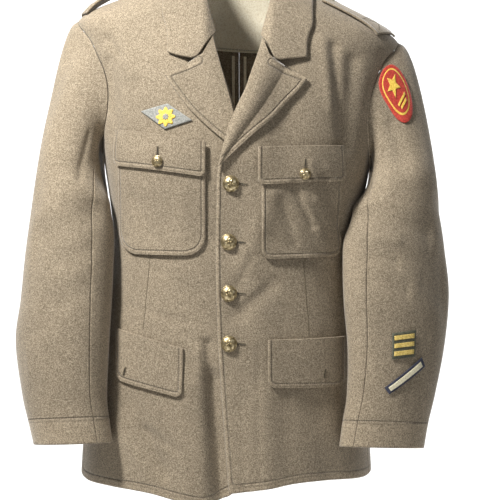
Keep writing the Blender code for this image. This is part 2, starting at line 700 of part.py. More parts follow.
def sleeve_grids(name, side):
    """The outer and inner points of a whole sleeve, from the sleeve seam to the cuff."""
    seam = [armhole(step, side, -GAP / 2) for step in range(ARMHOLE_STEPS)]
    rings = [[sleeve_point(ring, step, side) for step in range(ARMHOLE_STEPS)] for ring in SLEEVES[name]]
    top = [body(angle, down) for angle, down in seam]
    smooth = relaxed([top] + cap_rows(top, rings[0], rings[1]) + rings)
    normals = []
    for i, row in enumerate(smooth):
        normals.append([])
        for j in range(ARMHOLE_STEPS):
            around = row[(j + 1) % ARMHOLE_STEPS] - row[j - 1]
            below = smooth[min(i + 1, len(smooth) - 1)][j] - smooth[max(i - 1, 0)][j]
            normals[-1].append(around.cross(below).normalized() * side)
    for _ in range(NORMAL_PASSES):
        normals = evened(normals)
    outer = []
    inner = []
    for i, row in enumerate(smooth):
        heights = [sleeve_fold_height(name, j, i) if i else 0.0 for j in range(ARMHOLE_STEPS)]
        outer.append([point + normal * height for point, normal, height in zip(row, normals[i], heights)])
        inner.append([point - normal * WALL for point, normal in zip(outer[-1], normals[i])])
    return outer, inner


def strip(grid, first, last):
    """The columns of a tube from one step to another, drawn in by half the gap at both edges."""
    strips = []
    for row in grid:
        line = [row[step % ARMHOLE_STEPS] for step in range(first, last + 1)]
        start = line[0] + (line[1] - line[0]).normalized() * GAP / 2
        end = line[-1] + (line[-2] - line[-1]).normalized() * GAP / 2
        strips.append([start] + line[1:-1] + [end])
    return strips


def make_sleeve_patches(outer):
    make_sleeve_patch("patch_shoulder", outer, SHOULDER_PATCH, (0.45, 0.04, 0.03))
    make_sleeve_patch("patch_bars", outer, BAR_PATCH, (0.10, 0.11, 0.07))
    make_sleeve_patch("patch_stripe", outer, STRIPE_PATCH, (0.03, 0.03, 0.06))


def make_sleeve(name, side):
    """The top sleeve round the outside and the under sleeve towards the body."""
    outer, inner = sleeve_grids(name, side)
    behind = ARMHOLE_STEPS + TOP_SLEEVE_BACK
    pieces = {
        "sleeve_top_": (TOP_SLEEVE_BACK, TOP_SLEEVE_FRONT),
        "sleeve_under_": (TOP_SLEEVE_FRONT, behind),
    }
    for piece, (first, last) in pieces.items():
        wall(piece + name, strip(outer, first, last), strip(inner, first, last), wool())
    if side > 0:
        make_sleeve_patches(outer)


# Lapels and collar

def make_lapel(name, side):
    """A lapel turned back on the chest: it rolls over at its inner edge and lies flat at its outer one."""
    table = LAPELS[name]
    gorge_x, gorge_z, notch_x, notch_z = LAPEL_TOPS[name]
    low = []
    high = []
    lines = []
    for row in table:
        line = []
        for share in spread(0, 1, LAPEL_COLUMNS):
            x = row.roll_x + (row.edge_x - row.roll_x) * share
            line.append((x, row.roll_z + (row.edge_z - row.roll_z) * share))
        lines.append(line)
    tip = (table[-1].edge_x, table[-1].edge_z)
    top = []
    for column in range(LAPEL_COLUMNS + 1):
        if column <= LAPEL_NOTCH_COLUMN:
            share = column / LAPEL_NOTCH_COLUMN
            top.append((gorge_x + (notch_x - gorge_x) * share, gorge_z + (notch_z - gorge_z) * share))
        else:
            share = (column - LAPEL_NOTCH_COLUMN) / (LAPEL_COLUMNS - LAPEL_NOTCH_COLUMN)
            top.append((notch_x + (tip[0] - notch_x) * share, notch_z + (tip[1] - notch_z) * share))
    lines[-1] = [tuple((Vector(a) + Vector(b)) / 2) for a, b in zip(lines[-2], top)]
    lines.append(top)
    rises = [row.rise for row in table] + [table[-1].rise]
    for line, rise in zip(lines, rises):
        low_row = []
        high_row = []
        for column, (x, z) in enumerate(line):
            rolled = min(LAPEL_ROLL_START + LAPEL_ROLL_RATE * column / LAPEL_COLUMNS, 1.0)
            lift = LAPEL_LIFT[name] + rise * LAPEL_ROLL * math.sin(math.pi * rolled) ** 0.8
            low_row.append(on_front(x, z, lift, side > 0))
            high_row.append(on_front(x, z, lift + LAPEL_THICK, side > 0))
        low.append(low_row)
        high.append(high_row)
    return wall("lapel_" + name, high, low, wool())


def collar_line(around, side):
    """One section of the collar, from the neck seam over the roll to the outer edge."""
    row = CollarRow(*[along(COLLAR, column, around) for column in CollarRow._fields])
    roll_x = row.roll_x
    if row.seam_down > COLLAR_ON_RING:
        front = along(FRONT_EDGES, "right", row.seam_down)
        own = abs(along(FRONT_EDGES, "right" if side > 0 else "left", row.seam_down))
        roll_x += own - front
        aside = math.degrees((GAP + COLLAR_THICK / 2) / along(RINGS, "half_width", row.seam_down))
        seam = body((angle_of(own, row.seam_down) - aside) * side, row.seam_down, -WALL / 2)
    else:
        seam = body(row.seam_angle * side, 0.0, -WALL / 2) + Vector((0, 0, COLLAR_SEAT))
    roll = Vector((roll_x * side, row.roll_y, row.roll_z + RINGS[0].tilt * roll_x * side))
    edge = body_point(row.edge_angle * side, row.edge_down)
    line = [seam, seam.lerp(roll, 0.5), roll]
    near_end = 1 - ease(around / COLLAR_END)
    for fall in COLLAR_FALL:
        out, down = (fall.right_out, fall.right_down) if side > 0 else (fall.left_out, fall.left_down)
        point = roll.lerp(edge, fall.share) + Vector((out * side, 0, -down)) * near_end
        line.append(keep_off(point, COLLAR_LIFT + COLLAR_ROLL * fall.rise))
    return line


def make_collar():
    places = [0.0]
    for row, following in zip(COLLAR, COLLAR[1:]):
        places += [(row.around + following.around) / 2, following.around]
    lines = [collar_line(around, -1) for around in places]
    lines += [collar_line(around, 1) for around in reversed(places[:-1])]
    normals = grid_normals(lines)
    half = COLLAR_THICK / 2
    over = [[point - normal * half for point, normal in zip(*pair)] for pair in zip(lines, normals)]
    under = [[point + normal * half for point, normal in zip(*pair)] for pair in zip(lines, normals)]
    return wall("collar", over, under, wool())


# Pieces laid on the fronts

def rounded_patch(laid, rows=8, columns=9):
    """A grid of x and z over a patch with rounded lower corners."""
    flat_rows = rows - 3
    grid = []
    height = (laid.top_left + laid.top_right - laid.low_left - laid.low_right) / 2
    shares = [(share, 0.0) for share in spread(0, 1 - laid.radius / height, flat_rows)]
    for turn in (35, 65, 90):
        angle = math.radians(turn)
        shares.append((1 - laid.radius / height * (1 - math.sin(angle)), laid.radius * (1 - math.cos(angle))))
    for share, inset in shares:
        line = []
        left = laid.left + inset
        right = laid.right - inset
        for x in spread(left, right, columns):
            across = (x - laid.left) / (laid.right - laid.left)
            top = laid.top_left + (laid.top_right - laid.top_left) * across
            low = laid.low_left + (laid.low_right - laid.low_left) * across
            line.append((x, top + (low - top) * share))
        grid.append(line)
    return grid


def lay(name, grid, lift, thick, lapped, material):
    """A flat piece laid on a front: its points are the front's own, moved out."""
    under = [[on_front(x, z, lift, lapped) for x, z in row] for row in grid]
    over = [[on_front(x, z, lift + thick, lapped) for x, z in row] for row in grid]
    return wall(name, over, under, material)


def make_pockets(name, side):
    pocket = CHEST_POCKETS[name]
    lay("chest_pocket_" + name, rounded_patch(pocket), pocket.lift, pocket.thick, side > 0, wool())
    flap = CHEST_FLAPS[name]
    lay("chest_flap_" + name, rounded_patch(flap, 6, 8), flap.lift, flap.thick, side > 0, wool())
    lower = LOWER_FLAPS[name]
    lay("lower_flap_" + name, rounded_patch(lower, 6, 7), lower.lift, lower.thick, side > 0, wool())


def strap_lift(name, share):
    return STRAP_BASE + STRAPS[name].lift * math.sin(math.pi * share) ** 0.8


def make_strap(name, side):
    """A shoulder strap beside the shoulder seam, pointed at its inner end."""
    rows = []
    for share in spread(0, 1, STRAP_ROWS):
        line = []
        for across in STRAP_ACROSS:
            y = STRAPS[name].middle + across * STRAP_HALF_WIDTH * (1.0 - STRAP_TAPER * share)
            start = STRAP_OUTER - STRAP_SEAM_BOW * y * y
            pointed = ease((share - STRAP_POINT_FROM) / (1 - STRAP_POINT_FROM))
            x = start + (STRAP_INNER - start) * share + STRAP_POINT * abs(across) ** 1.6 * pointed
            line.append((x * side, y, strap_lift(name, share)))
        rows.append(line)
    over = [[on_shoulder(x, y, lift + STRAP_THICK) for x, y, lift in row] for row in rows]
    under = [[on_shoulder(x, y, lift) for x, y, lift in row] for row in rows]
    return wall("strap_" + name, over, under, wool())


def make_yoke():
    """The cotton lining across the inside of the back's neck."""
    rows = []
    for share in spread(YOKE_TOP, 1, YOKE_ROWS):
        row = []
        for angle in spread(180 - YOKE_ANGLE, 180 + YOKE_ANGLE, YOKE_COLUMNS):
            bow = 1 - YOKE_BOW * ((angle - 180) / YOKE_ANGLE) ** 2
            row.append((angle if angle <= 180 else angle - 360, YOKE_DEPTH * share * bow))
        rows.append(row)
    lift = -WALL - YOKE_CLEAR
    outer = [[body(angle, down, lift) for angle, down in row] for row in rows]
    inner = [[body(angle, down, lift - YOKE_THICK) for angle, down in row] for row in rows]
    return wall("yoke_lining", outer, inner, finish("cream_cotton", (0.62, 0.53, 0.38), 0.85))


# Buttons

def make_button(name, centre, normal, radius):
    """A domed metal button with a rim, its back facing the cloth."""
    rise = radius * BUTTON_RISE
    mesh = bpy.data.meshes.new(name)
    points = [(radius * out, 0.0, rise * up) for out, up in BUTTON_OUTLINE]
    mesh.from_pydata(points, [(i, i + 1) for i in range(len(points) - 1)], [])
    part = place(mesh, name, brass())
    turned = part.modifiers.new("turned", "SCREW")
    turned.steps = BUTTON_SIDES
    turned.render_steps = BUTTON_SIDES
    turned.use_merge_vertices = True
    turned.merge_threshold = GAP / 6
    part.location = centre
    part.rotation_euler = normal.to_track_quat("Z", "Y").to_euler()


def front_normal(x, z, lapped):
    base = on_front(x, z, 0.0, lapped)
    step = BUTTON_SLOPE_STEP
    across = on_front(x + step, z, 0.0, lapped) - on_front(x - step, z, 0.0, lapped)
    upwards = on_front(x, z + step, 0.0, lapped) - on_front(x, z - step, 0.0, lapped)
    return base, across.cross(upwards).normalized()


def make_buttons():
    for index, (x, z) in enumerate(FRONT_BUTTONS):
        base, normal = front_normal(x, z, True)
        make_button(f"front_button_{index + 1}", base + normal * BUTTON_SEAT, normal, FRONT_BUTTON_RADIUS)
    for name, side in (("left", -1), ("right", 1)):
        x, z = CHEST_BUTTONS[name]
        base, normal = front_normal(x, z, side > 0)
        flap = CHEST_FLAPS[name]
        seat = flap.lift + flap.thick + LAID
        make_button("chest_button_" + name, base + normal * seat, normal, SMALL_BUTTON_RADIUS)
        x = side * (STRAP_INNER + STRAP_BUTTON_IN)
        y = STRAPS[name].middle
        share = (STRAP_OUTER - STRAP_BUTTON_IN - STRAP_INNER) / (STRAP_OUTER - STRAP_INNER)
        centre = on_shoulder(x, y, strap_lift(name, share) + STRAP_THICK + STRAP_BUTTON_LIFT)
        normal = (on_shoulder(x, y, SMALL_BUTTON_RADIUS) - on_shoulder(x, y, 0.0)).normalized()
        make_button("strap_button_" + name, centre, normal, SMALL_BUTTON_RADIUS)


# Patches

def make_lozenge():
    """The grey lozenge on the wearer's right chest."""
    left, top, right, low = [Vector(corner) for corner in LOZENGE]
    grid = []
    for down in spread(0, 1, 3):
        start, end = left.lerp(low, down), top.lerp(right, down)
        grid.append([tuple(start.lerp(end, across)) for across in spread(0, 1, 4)])
    lay("patch_lozenge", grid, LAID, PATCH_THICK, False, finish("grey_felt", (0.33, 0.34, 0.33), 0.9))


def on_sleeve(outer, step, ring):
    """The point and normal of a sleeve between its own points."""
    i = min(int(ring), len(outer) - 2)
    j = int(math.floor(step))
    low, high = outer[i], outer[i + 1]
    first, second = j % ARMHOLE_STEPS, (j + 1) % ARMHOLE_STEPS
    top = low[first].lerp(low[second], step - j)
    under = high[first].lerp(high[second], step - j)
    around = low[second] - low[first] + high[second] - high[first]
    return top.lerp(under, ring - i), around.cross(under - top).normalized()


def place_on_sleeve(outer, x, z):
    """The quarter step and tenth of a ring of the sleeve's front that is seen nearest to x and z."""
    places = [(step / 4, ring / 10) for step in range(28) for ring in range(5, 10 * (len(outer) - 1))]
    seen = Vector((x, z))
    return min(places, key=lambda place: (Vector(on_sleeve(outer, *place)[0].xz) - seen).length)


def make_sleeve_patch(name, outer, patch, colour):
    """A patch on the right sleeve, upright or slanted, with rounded corners where it has a radius."""
    step, ring = place_on_sleeve(outer, patch.x, patch.z)
    step_size = (on_sleeve(outer, step + 0.5, ring)[0] - on_sleeve(outer, step - 0.5, ring)[0]).length
    ring_size = (on_sleeve(outer, step, ring + 0.5)[0] - on_sleeve(outer, step, ring - 0.5)[0]).length
    slant = math.radians(patch.slant)
    over = []
    under = []
    for turn in spread(-90, 90, PATCH_ROWS):
        height = math.sin(math.radians(turn))
        past_flat = max(abs(height) - patch.flat, 0.0) / (1 - patch.flat)
        inset = patch.radius * (1 - math.sqrt(max(0.0, 1 - past_flat**2)))
        half = max(patch.width / 2 - inset, patch.width * PATCH_LEAST_WIDTH)
        over_row = []
        under_row = []
        for across in spread(-half, half, PATCH_COLUMNS):
            right = across * math.cos(slant) + height * patch.height / 2 * math.sin(slant)
            low = height * patch.height / 2 * math.cos(slant) - across * math.sin(slant)
            point, normal = on_sleeve(outer, step - right / step_size, ring + low / ring_size)
            over_row.append(point + normal * (PATCH_LIFT + PATCH_THICK))
            under_row.append(point + normal * PATCH_LIFT)
        over.append(over_row)
        under.append(under_row)
    wall(name, over, under, finish(name, colour, 0.8))


def main():
    for item in list(bpy.data.objects):
        bpy.data.objects.remove(item)
    bpy.context.scene.collection.children.link(collection)
    for name, side in (("left", -1), ("right", 1)):
        make_front("front_" + name, side, name)
        make_side("side_" + name, side)
        make_back("back_" + name, side)
        make_sleeve(name, side)
        make_lapel(name, side)
        make_pockets(name, side)
        make_strap(name, side)
    make_collar()
    make_yoke()
    make_lozenge()
    make_buttons()


main()
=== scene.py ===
"""A wool uniform coat, filled out and hollow: its looks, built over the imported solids."""

import math

import bmesh
import bpy
import numpy as np
from mathutils import Matrix, Vector


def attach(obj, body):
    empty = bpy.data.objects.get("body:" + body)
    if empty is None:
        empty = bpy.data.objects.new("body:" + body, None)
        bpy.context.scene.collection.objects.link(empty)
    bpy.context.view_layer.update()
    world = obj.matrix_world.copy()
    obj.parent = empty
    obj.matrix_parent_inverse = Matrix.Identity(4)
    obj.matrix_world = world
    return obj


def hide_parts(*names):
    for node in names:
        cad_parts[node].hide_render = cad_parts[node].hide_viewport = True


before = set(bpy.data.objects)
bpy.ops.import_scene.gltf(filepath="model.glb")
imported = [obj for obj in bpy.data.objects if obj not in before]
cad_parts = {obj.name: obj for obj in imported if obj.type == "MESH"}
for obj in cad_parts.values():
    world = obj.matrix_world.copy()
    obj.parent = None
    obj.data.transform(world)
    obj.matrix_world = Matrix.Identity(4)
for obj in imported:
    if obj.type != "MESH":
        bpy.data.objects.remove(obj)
bpy.context.view_layer.update()


# Fronts
# The two fronts of heavy olive wool serge, cut from shoulder to hem. The wearer's left one laps over the other
# and carries the buttonholes. Each is a thin shell on its solid's form, with the creases of the photographed coat.


class Curves:
    """Rows of numbers, read at any place of their first column on smooth curves through the rows."""

    def __init__(self, names, rows):
        self.columns = dict(zip(names.split(), np.array(rows, float).T))
        self.places = np.array(rows, float)[:, 0]
        self.slopes = {name: np.gradient(values, self.places) for name, values in self.columns.items()}

    def __call__(self, name, at):
        at = np.clip(at, self.places[0], self.places[-1])
        low = np.clip(np.searchsorted(self.places, at, side="right") - 1, 0, len(self.places) - 2)
        step = self.places[low + 1] - self.places[low]
        share = (at - self.places[low]) / step
        values, slopes = self.columns[name], self.slopes[name]
        here = values[low] * (1 + 2 * share) * (1 - share) ** 2
        here = here + slopes[low] * share * (1 - share) ** 2 * step
        here = here + values[low + 1] * share**2 * (3 - 2 * share)
        return here + slopes[low + 1] * share**2 * (share - 1) * step


WALL = 0.0020
GAP = 0.0003
LAID = 0.0009
BODY = Curves("down half_width front back square shift tilt", [
    (0.000, 0.0800, 0.056, 0.072, 2.0, 0.000, -0.068),
    (0.040, 0.1480, 0.080, 0.090, 2.0, 0.000, -0.068),
    (0.088, 0.2405, 0.100, 0.102, 2.1, 0.000, -0.068),
    (0.130, 0.2340, 0.116, 0.110, 2.2, 0.000, -0.068),
    (0.187, 0.2180, 0.131, 0.116, 2.3, 0.000, -0.068),
    (0.285, 0.2010, 0.142, 0.117, 2.4, -0.003, -0.068),
    (0.420, 0.1830, 0.137, 0.102, 2.3, -0.006, -0.068),
    (0.560, 0.1980, 0.140, 0.108, 2.3, -0.011, -0.050),
    (0.680, 0.2140, 0.142, 0.116, 2.3, -0.017, -0.015),
    (0.790, 0.2210, 0.144, 0.120, 2.3, -0.018, 0.000),
])
FRONT_EDGE = Curves("down left right", [
    (0.000, -0.0760, 0.0760),
    (0.035, -0.0650, 0.0670),
    (0.071, -0.0530, 0.0550),
    (0.120, -0.0350, 0.0370),
    (0.160, -0.0240, 0.0235),
    (0.194, -0.0125, 0.0120),
    (0.225, -0.0018, -0.0018),
    (0.254, 0.0050, -0.0130),
    (0.287, 0.0085, -0.0214),
    (0.312, 0.0095, -0.0270),
    (0.350, 0.0095, -0.0284),
    (0.550, 0.0095, -0.0264),
    (0.620, 0.0110, -0.0219),
    (0.709, 0.0150, -0.0152),
    (0.790, 0.0190, -0.0090),
])
HEM = Curves("angle left right", [
    (-3, 0.752, 0.757),
    (0, 0.764, 0.757),
    (3, 0.770, 0.755),
    (12, 0.768, 0.750),
    (25, 0.759, 0.744),
    (45, 0.755, 0.745),
    (66, 0.755, 0.749),
    (90, 0.749, 0.747),
    (180, 0.747, 0.747),
])
HEM_LEVEL = 0.757
HEM_SETTLES_FROM = 0.60
# Folds and creases: where each starts and ends as seen from the front, how wide it is and how far it stands out
# (or goes in, below nought)
FRONT_FOLDS = [
    (-0.034, -0.600, -0.020, -0.775, 0.015, -0.0080),
    (-0.068, -0.610, -0.062, -0.780, 0.022, 0.0060),
    (-0.150, -0.640, -0.105, -0.720, 0.018, -0.0040),
    (0.165, -0.150, 0.155, -0.270, 0.013, -0.0050),
    (-0.186, -0.150, -0.176, -0.250, 0.013, -0.0040),
    (0.050, -0.345, 0.010, -0.440, 0.016, 0.0030),
    (0.045, -0.470, 0.000, -0.510, 0.012, -0.0030),
    (0.040, -0.620, 0.048, -0.760, 0.020, 0.0040),
    (0.110, -0.640, 0.135, -0.745, 0.022, -0.0045),
    # finer creases
    (-0.041, -0.550, -0.023, -0.765, 0.007, -0.0060),
    (-0.052, -0.560, -0.044, -0.765, 0.009, 0.0028),
    (0.137, -0.130, 0.147, -0.250, 0.008, -0.0036),
    (0.122, -0.120, 0.130, -0.220, 0.009, 0.0020),
    (-0.128, -0.675, -0.100, -0.735, 0.006, -0.0026),
    (-0.188, -0.115, -0.172, -0.140, 0.007, -0.0030),
    (-0.160, -0.090, -0.150, -0.170, 0.010, 0.0020),
    (-0.150, -0.500, -0.070, -0.520, 0.006, -0.0012),
    (0.020, -0.430, 0.000, -0.470, 0.006, -0.0018),
    (0.030, -0.470, 0.004, -0.492, 0.005, 0.0014),
    (0.078, -0.330, 0.104, -0.385, 0.006, -0.0030),
    (0.122, -0.320, 0.146, -0.395, 0.007, -0.0034),
    (0.092, -0.350, 0.122, -0.410, 0.006, 0.0018),
    (0.060, -0.350, 0.080, -0.410, 0.007, -0.0018),
    (0.100, -0.300, 0.110, -0.350, 0.006, 0.0016),
    (0.040, -0.400, 0.090, -0.425, 0.006, -0.0012),
    (-0.145, -0.345, -0.120, -0.400, 0.008, -0.0014),
    (-0.080, -0.340, -0.070, -0.400, 0.008, 0.0012),
    (0.120, -0.470, 0.150, -0.500, 0.008, -0.0016),
    (0.060, -0.480, 0.110, -0.530, 0.009, 0.0012),
    (-0.110, -0.450, -0.060, -0.480, 0.008, -0.0012),
    (-0.130, -0.670, -0.080, -0.700, 0.007, -0.0020),
    (-0.155, -0.690, -0.120, -0.740, 0.008, 0.0018),
    (0.028, -0.560, 0.030, -0.750, 0.0035, -0.0010),
    (0.000, -0.640, 0.008, -0.750, 0.010, -0.0018),
    (0.165, -0.560, 0.155, -0.700, 0.010, -0.0020),
    (-0.190, -0.380, -0.170, -0.500, 0.010, -0.0018),
    (0.150, -0.400, 0.165, -0.470, 0.008, 0.0015),
]
BACK_FOLDS = [
    (-0.150, -0.330, -0.060, -0.430, 0.020, -0.0045),
    (0.140, -0.310, 0.070, -0.420, 0.020, -0.0045),
    (-0.085, -0.560, -0.100, -0.750, 0.026, 0.0060),
    (0.070, -0.540, 0.090, -0.745, 0.026, 0.0060),
    (-0.010, -0.600, -0.015, -0.750, 0.022, -0.0050),
    (-0.130, -0.110, -0.100, -0.250, 0.022, -0.0040),
    (0.130, -0.120, 0.105, -0.250, 0.022, -0.0040),
    # finer creases
    (-0.160, -0.240, -0.120, -0.300, 0.008, -0.0022),
    (0.155, -0.230, 0.120, -0.290, 0.008, -0.0022),
    (-0.120, -0.400, -0.050, -0.420, 0.007, -0.0018),
    (0.100, -0.400, 0.040, -0.440, 0.007, -0.0018),
    (-0.060, -0.080, -0.030, -0.120, 0.009, 0.0015),
    (0.050, -0.075, 0.030, -0.120, 0.009, 0.0015),
    (-0.150, -0.600, -0.140, -0.730, 0.010, -0.0022),
    (0.150, -0.590, 0.155, -0.730, 0.010, -0.0022),
    (0.020, -0.440, 0.040, -0.520, 0.010, 0.0016),
]
LAP_EDGE = 0.020
LAP_FADE = 0.055
LAP_LIFT = WALL + 0.0020
LAPEL_LAP_LIFT = 0.0080
# The depths at which the lap starts and the lapel under it starts and ends, and how far each takes
LAP_START = (0.10, 0.06)
LAPEL_LAP_START = (0.15, 0.04)
LAPEL_LAP_END = (0.285, 0.045)
ARMHOLE_MIDDLE = 0.1865
ARMHOLE_HALF_HEIGHT = 0.0985
ARMHOLE_FRONT_ANGLE = 30.0
ARMHOLE_BACK_ANGLE = 27.0
ARMHOLE_STEPS = 20
ARMHOLE_BODY_RADIUS = 0.16
SIDE_SEAM_STEP = 8
SEAM_HALF_ANGLE = 0.060
RIDGE_HALF_ANGLE = 0.17
RIM_SHARE = 0.42
FRONT_STITCH = 0.0065
FRONT_STITCH_FROM = 0.30
HEM_STITCH = 0.0115
WOOL_DARK = (0.118, 0.090, 0.057)
WOOL_MIDDLE = (0.255, 0.204, 0.138)
WOOL_LIGHT = (0.450, 0.378, 0.275)


def unit(vectors):
    return vectors / np.maximum(np.linalg.norm(vectors, axis=-1, keepdims=True), 1e-12)


def ease(share):
    share = np.clip(share, 0.0, 1.0)
    return share * share * (3 - 2 * share)


def signed_power(value, power):
    return np.sign(value) * np.abs(value) ** power


def body_point(angle, down):
    """The smooth body at angles round from the centre front and depths below the neck."""
    angle, down = np.broadcast_arrays(np.asarray(angle, float), np.asarray(down, float))
    power = 2 / BODY("square", down)
    depth = np.where(np.abs(angle) < 90, BODY("front", down), BODY("back", down))
    x = signed_power(np.sin(np.radians(angle)), power) * BODY("half_width", down) + BODY("shift", down)
    y = -signed_power(np.cos(np.radians(angle)), power) * depth
    return np.stack([x, y, BODY("tilt", down) * x - down], -1)


def body_normal(angle, down):
    turn, drop = 0.6, 0.003
    across = body_point(angle + turn, down) - body_point(angle - turn, down)
    above = np.maximum(down - drop, 0.0)
    downwards = body_point(angle, above + 2 * drop) - body_point(angle, above)
    return unit(np.cross(downwards, across))


def fold_height(x, z, folds):
    total = np.zeros(np.broadcast(x, z).shape)
    for x0, z0, x1, z1, width, height in folds:
        share = ((x - x0) * (x1 - x0) + (z - z0) * (z1 - z0)) / ((x1 - x0) ** 2 + (z1 - z0) ** 2)
        share = np.clip(share, 0.0, 1.0)
        away = np.hypot(x - x0 - (x1 - x0) * share, z - z0 - (z1 - z0) * share)
        total += height * np.exp(-((away / width) ** 2))
    return total


def lap_height(x, down):
    """How far the right front stands off to lie over the left one and its lapel."""
    beside = 1 - ease((x - LAP_EDGE) / LAP_FADE)
    begun, lapel_begun, lapel_ended = (
        ease((down - start) / length) for start, length in (LAP_START, LAPEL_LAP_START, LAPEL_LAP_END)
    )
    over_lapel = lapel_begun * (1 - lapel_ended)
    return beside * (LAP_LIFT + (LAPEL_LAP_LIFT - LAP_LIFT) * over_lapel) * begun


def body(angle, down, out=0.0, lapped=False):
    """Points of the folded body, moved out along its normal."""
    angle, down = np.broadcast_arrays(np.asarray(angle, float), np.asarray(down, float))
    point = body_point(angle, down)
    x, z = point[..., 0], point[..., 2]
    folds = np.where(np.abs(angle) < 90, fold_height(x, z, FRONT_FOLDS), fold_height(x, z, BACK_FOLDS))
    out = out + folds * ease(np.abs(np.cos(np.radians(angle))) * 2)
    if lapped:
        out = out + lap_height(x, down)
    return point + body_normal(angle, down) * np.asarray(out)[..., None]


def angle_of(x, down):
    """The angle at which the level section at a depth reaches x."""
    share = np.clip((x - BODY("shift", down)) / BODY("half_width", down), -1.0, 1.0)
    return np.degrees(np.arcsin(signed_power(share, BODY("square", down) / 2)))


def on_front(x, z, out=0.0, lapped=False):
    """The points of a front seen at x and z."""
    x, z = np.asarray(x, float), np.asarray(z, float)
    down = -z
    for _ in range(3):
        down = BODY("tilt", down) * x - z
    return body(angle_of(x, down), down, out, lapped)


def armhole(step, side, grow):
    """The angle and depth of points of the sleeve seam, counted from the shoulder towards the front."""
    turn = 2 * np.pi * np.asarray(step, float) / ARMHOLE_STEPS
    wide = np.where(np.sin(turn) > 0, ARMHOLE_FRONT_ANGLE, ARMHOLE_BACK_ANGLE)
    angle = 90 - (wide + math.degrees(grow / ARMHOLE_BODY_RADIUS)) * np.sin(turn)
    return side * angle, ARMHOLE_MIDDLE - (ARMHOLE_HALF_HEIGHT + grow) * np.cos(turn)


def hem_depth(side, angle, down):
    """The depth of points of level rows, moved with the hem where the skirt settles."""
    share = ease((down - HEM_SETTLES_FROM) / (HEM_LEVEL - HEM_SETTLES_FROM))
    return down + share * (HEM("right" if side > 0 else "left", angle * side) - HEM_LEVEL)


def lengths(points):
    """The length along a line of points, at each of them."""
    steps = np.linalg.norm(np.diff(points, axis=0), axis=1)
    return np.concatenate([[0.0], np.cumsum(steps)])


def nearest_on(line, points):
    """The distance of points from a line of points, and how far along it the nearest place is."""
    starts, runs = line[:-1], np.diff(line, axis=0)
    along = lengths(line)[:-1]
    distance = np.full(len(points), np.inf)
    place = np.zeros(len(points))
    for start, run, before in zip(starts, runs, along):
        length = max(np.linalg.norm(run), 1e-9)
        share = np.clip((points - start) @ run / length**2, 0.0, 1.0)
        away = np.linalg.norm(points - start - share[:, None] * run, axis=1)
        nearer = away < distance
        distance[nearer] = away[nearer]
        place[nearer] = before + share[nearer] * length
    return distance, place


def thinned(line, most=60):
    """A line of points with no more of them than this."""
    keep = np.unique(np.linspace(0, len(line) - 1, min(most, len(line))).round().astype(int))
    return line[keep]


def shell(name, outer, inner, material, stitches=(), sides=1.0):
    """A closed cloth shell between two grids of points, with rounded rims.

    stitches are (line of points, distance from it) pairs: the attributes "stitch" and "run" hold how far past
    the stitching a point lies and how far along it. sides makes the roundings along the columns smaller.
    """
    rows, columns = outer.shape[:2]
    middle = (outer + inner) / 2
    radius = RIM_SHARE * np.linalg.norm(outer - inner, axis=-1).mean()
    over, under = outer.copy(), inner.copy()
    every = slice(None)
    edges = [((0,), (1,), 1.0), ((-1,), (-2,), 1.0)]
    edges += [((every, 0), (every, 1), sides), ((every, -1), (every, -2), sides)]
    for grid in (over, under):
        for edge, beside, share in edges:
            inwards = grid[beside] - grid[edge]
            reach = np.minimum(radius * share, 0.45 * np.linalg.norm(inwards, axis=-1, keepdims=True))
            grid[edge] = grid[edge] + unit(inwards) * reach
    loop = [(0, j) for j in range(columns)] + [(i, columns - 1) for i in range(1, rows)]
    loop += [(rows - 1, j) for j in range(columns - 2, -1, -1)] + [(i, 0) for i in range(rows - 2, 0, -1)]
    rim = np.array([middle[i, j] for i, j in loop])
    points = np.concatenate([over.reshape(-1, 3), under.reshape(-1, 3), rim])
    count = rows * columns
    index = np.arange(count).reshape(rows, columns)
    quads = np.stack([index[:-1, :-1], index[:-1, 1:], index[1:, 1:], index[1:, :-1]], -1).reshape(-1, 4)
    ring = np.array([index[i, j] for i, j in loop])
    edge = 2 * count + np.arange(len(loop))
    front = np.stack([ring, edge, np.roll(edge, -1), np.roll(ring, -1)], -1)
    back = np.stack([edge, ring + count, np.roll(ring, -1) + count, np.roll(edge, -1)], -1)
    faces = np.concatenate([quads, quads[:, ::-1] + count, front, back])
    mesh = bpy.data.meshes.new(name)
    mesh.from_pydata(points.tolist(), [], faces.tolist())
    work = bmesh.new()
    work.from_mesh(mesh)
    bmesh.ops.recalc_face_normals(work, faces=work.faces)
    work.to_mesh(mesh)
    work.free()
    mesh.shade_smooth()
    across = np.cumsum(np.linalg.norm(np.diff(outer, axis=1, prepend=outer[:, :1]), axis=-1), axis=1)
    downwards = np.cumsum(np.linalg.norm(np.diff(outer, axis=0, prepend=outer[:1]), axis=-1), axis=0)
    flat = np.stack([across, downwards], -1)
    uv = np.concatenate([flat.reshape(-1, 2), flat.reshape(-1, 2), [flat[i, j] for i, j in loop]])
    corners = np.empty(len(mesh.loops), np.int32)
    mesh.loops.foreach_get("vertex_index", corners)
    mesh.uv_layers.new(name="cloth").data.foreach_set("uv", uv[corners].astype(np.float32).ravel())
    stitch = np.full(len(points), 1.0)
    run = np.zeros(len(points))
    for line, offset in stitches:
        distance, place = nearest_on(thinned(np.asarray(line)), points)
        nearer = distance - offset < stitch
        stitch[nearer] = (distance - offset)[nearer]
        run[nearer] = place[nearer]
    stitch[count:] = 1.0
    for label, values in (("stitch", stitch), ("run", run)):
        mesh.attributes.new(label, "FLOAT", "POINT").data.foreach_set("value", values.astype(np.float32))
    part = bpy.data.objects.new(name, mesh)
    bpy.context.scene.collection.objects.link(part)
    part.data.materials.append(material)
    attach(part, "root")
    return part


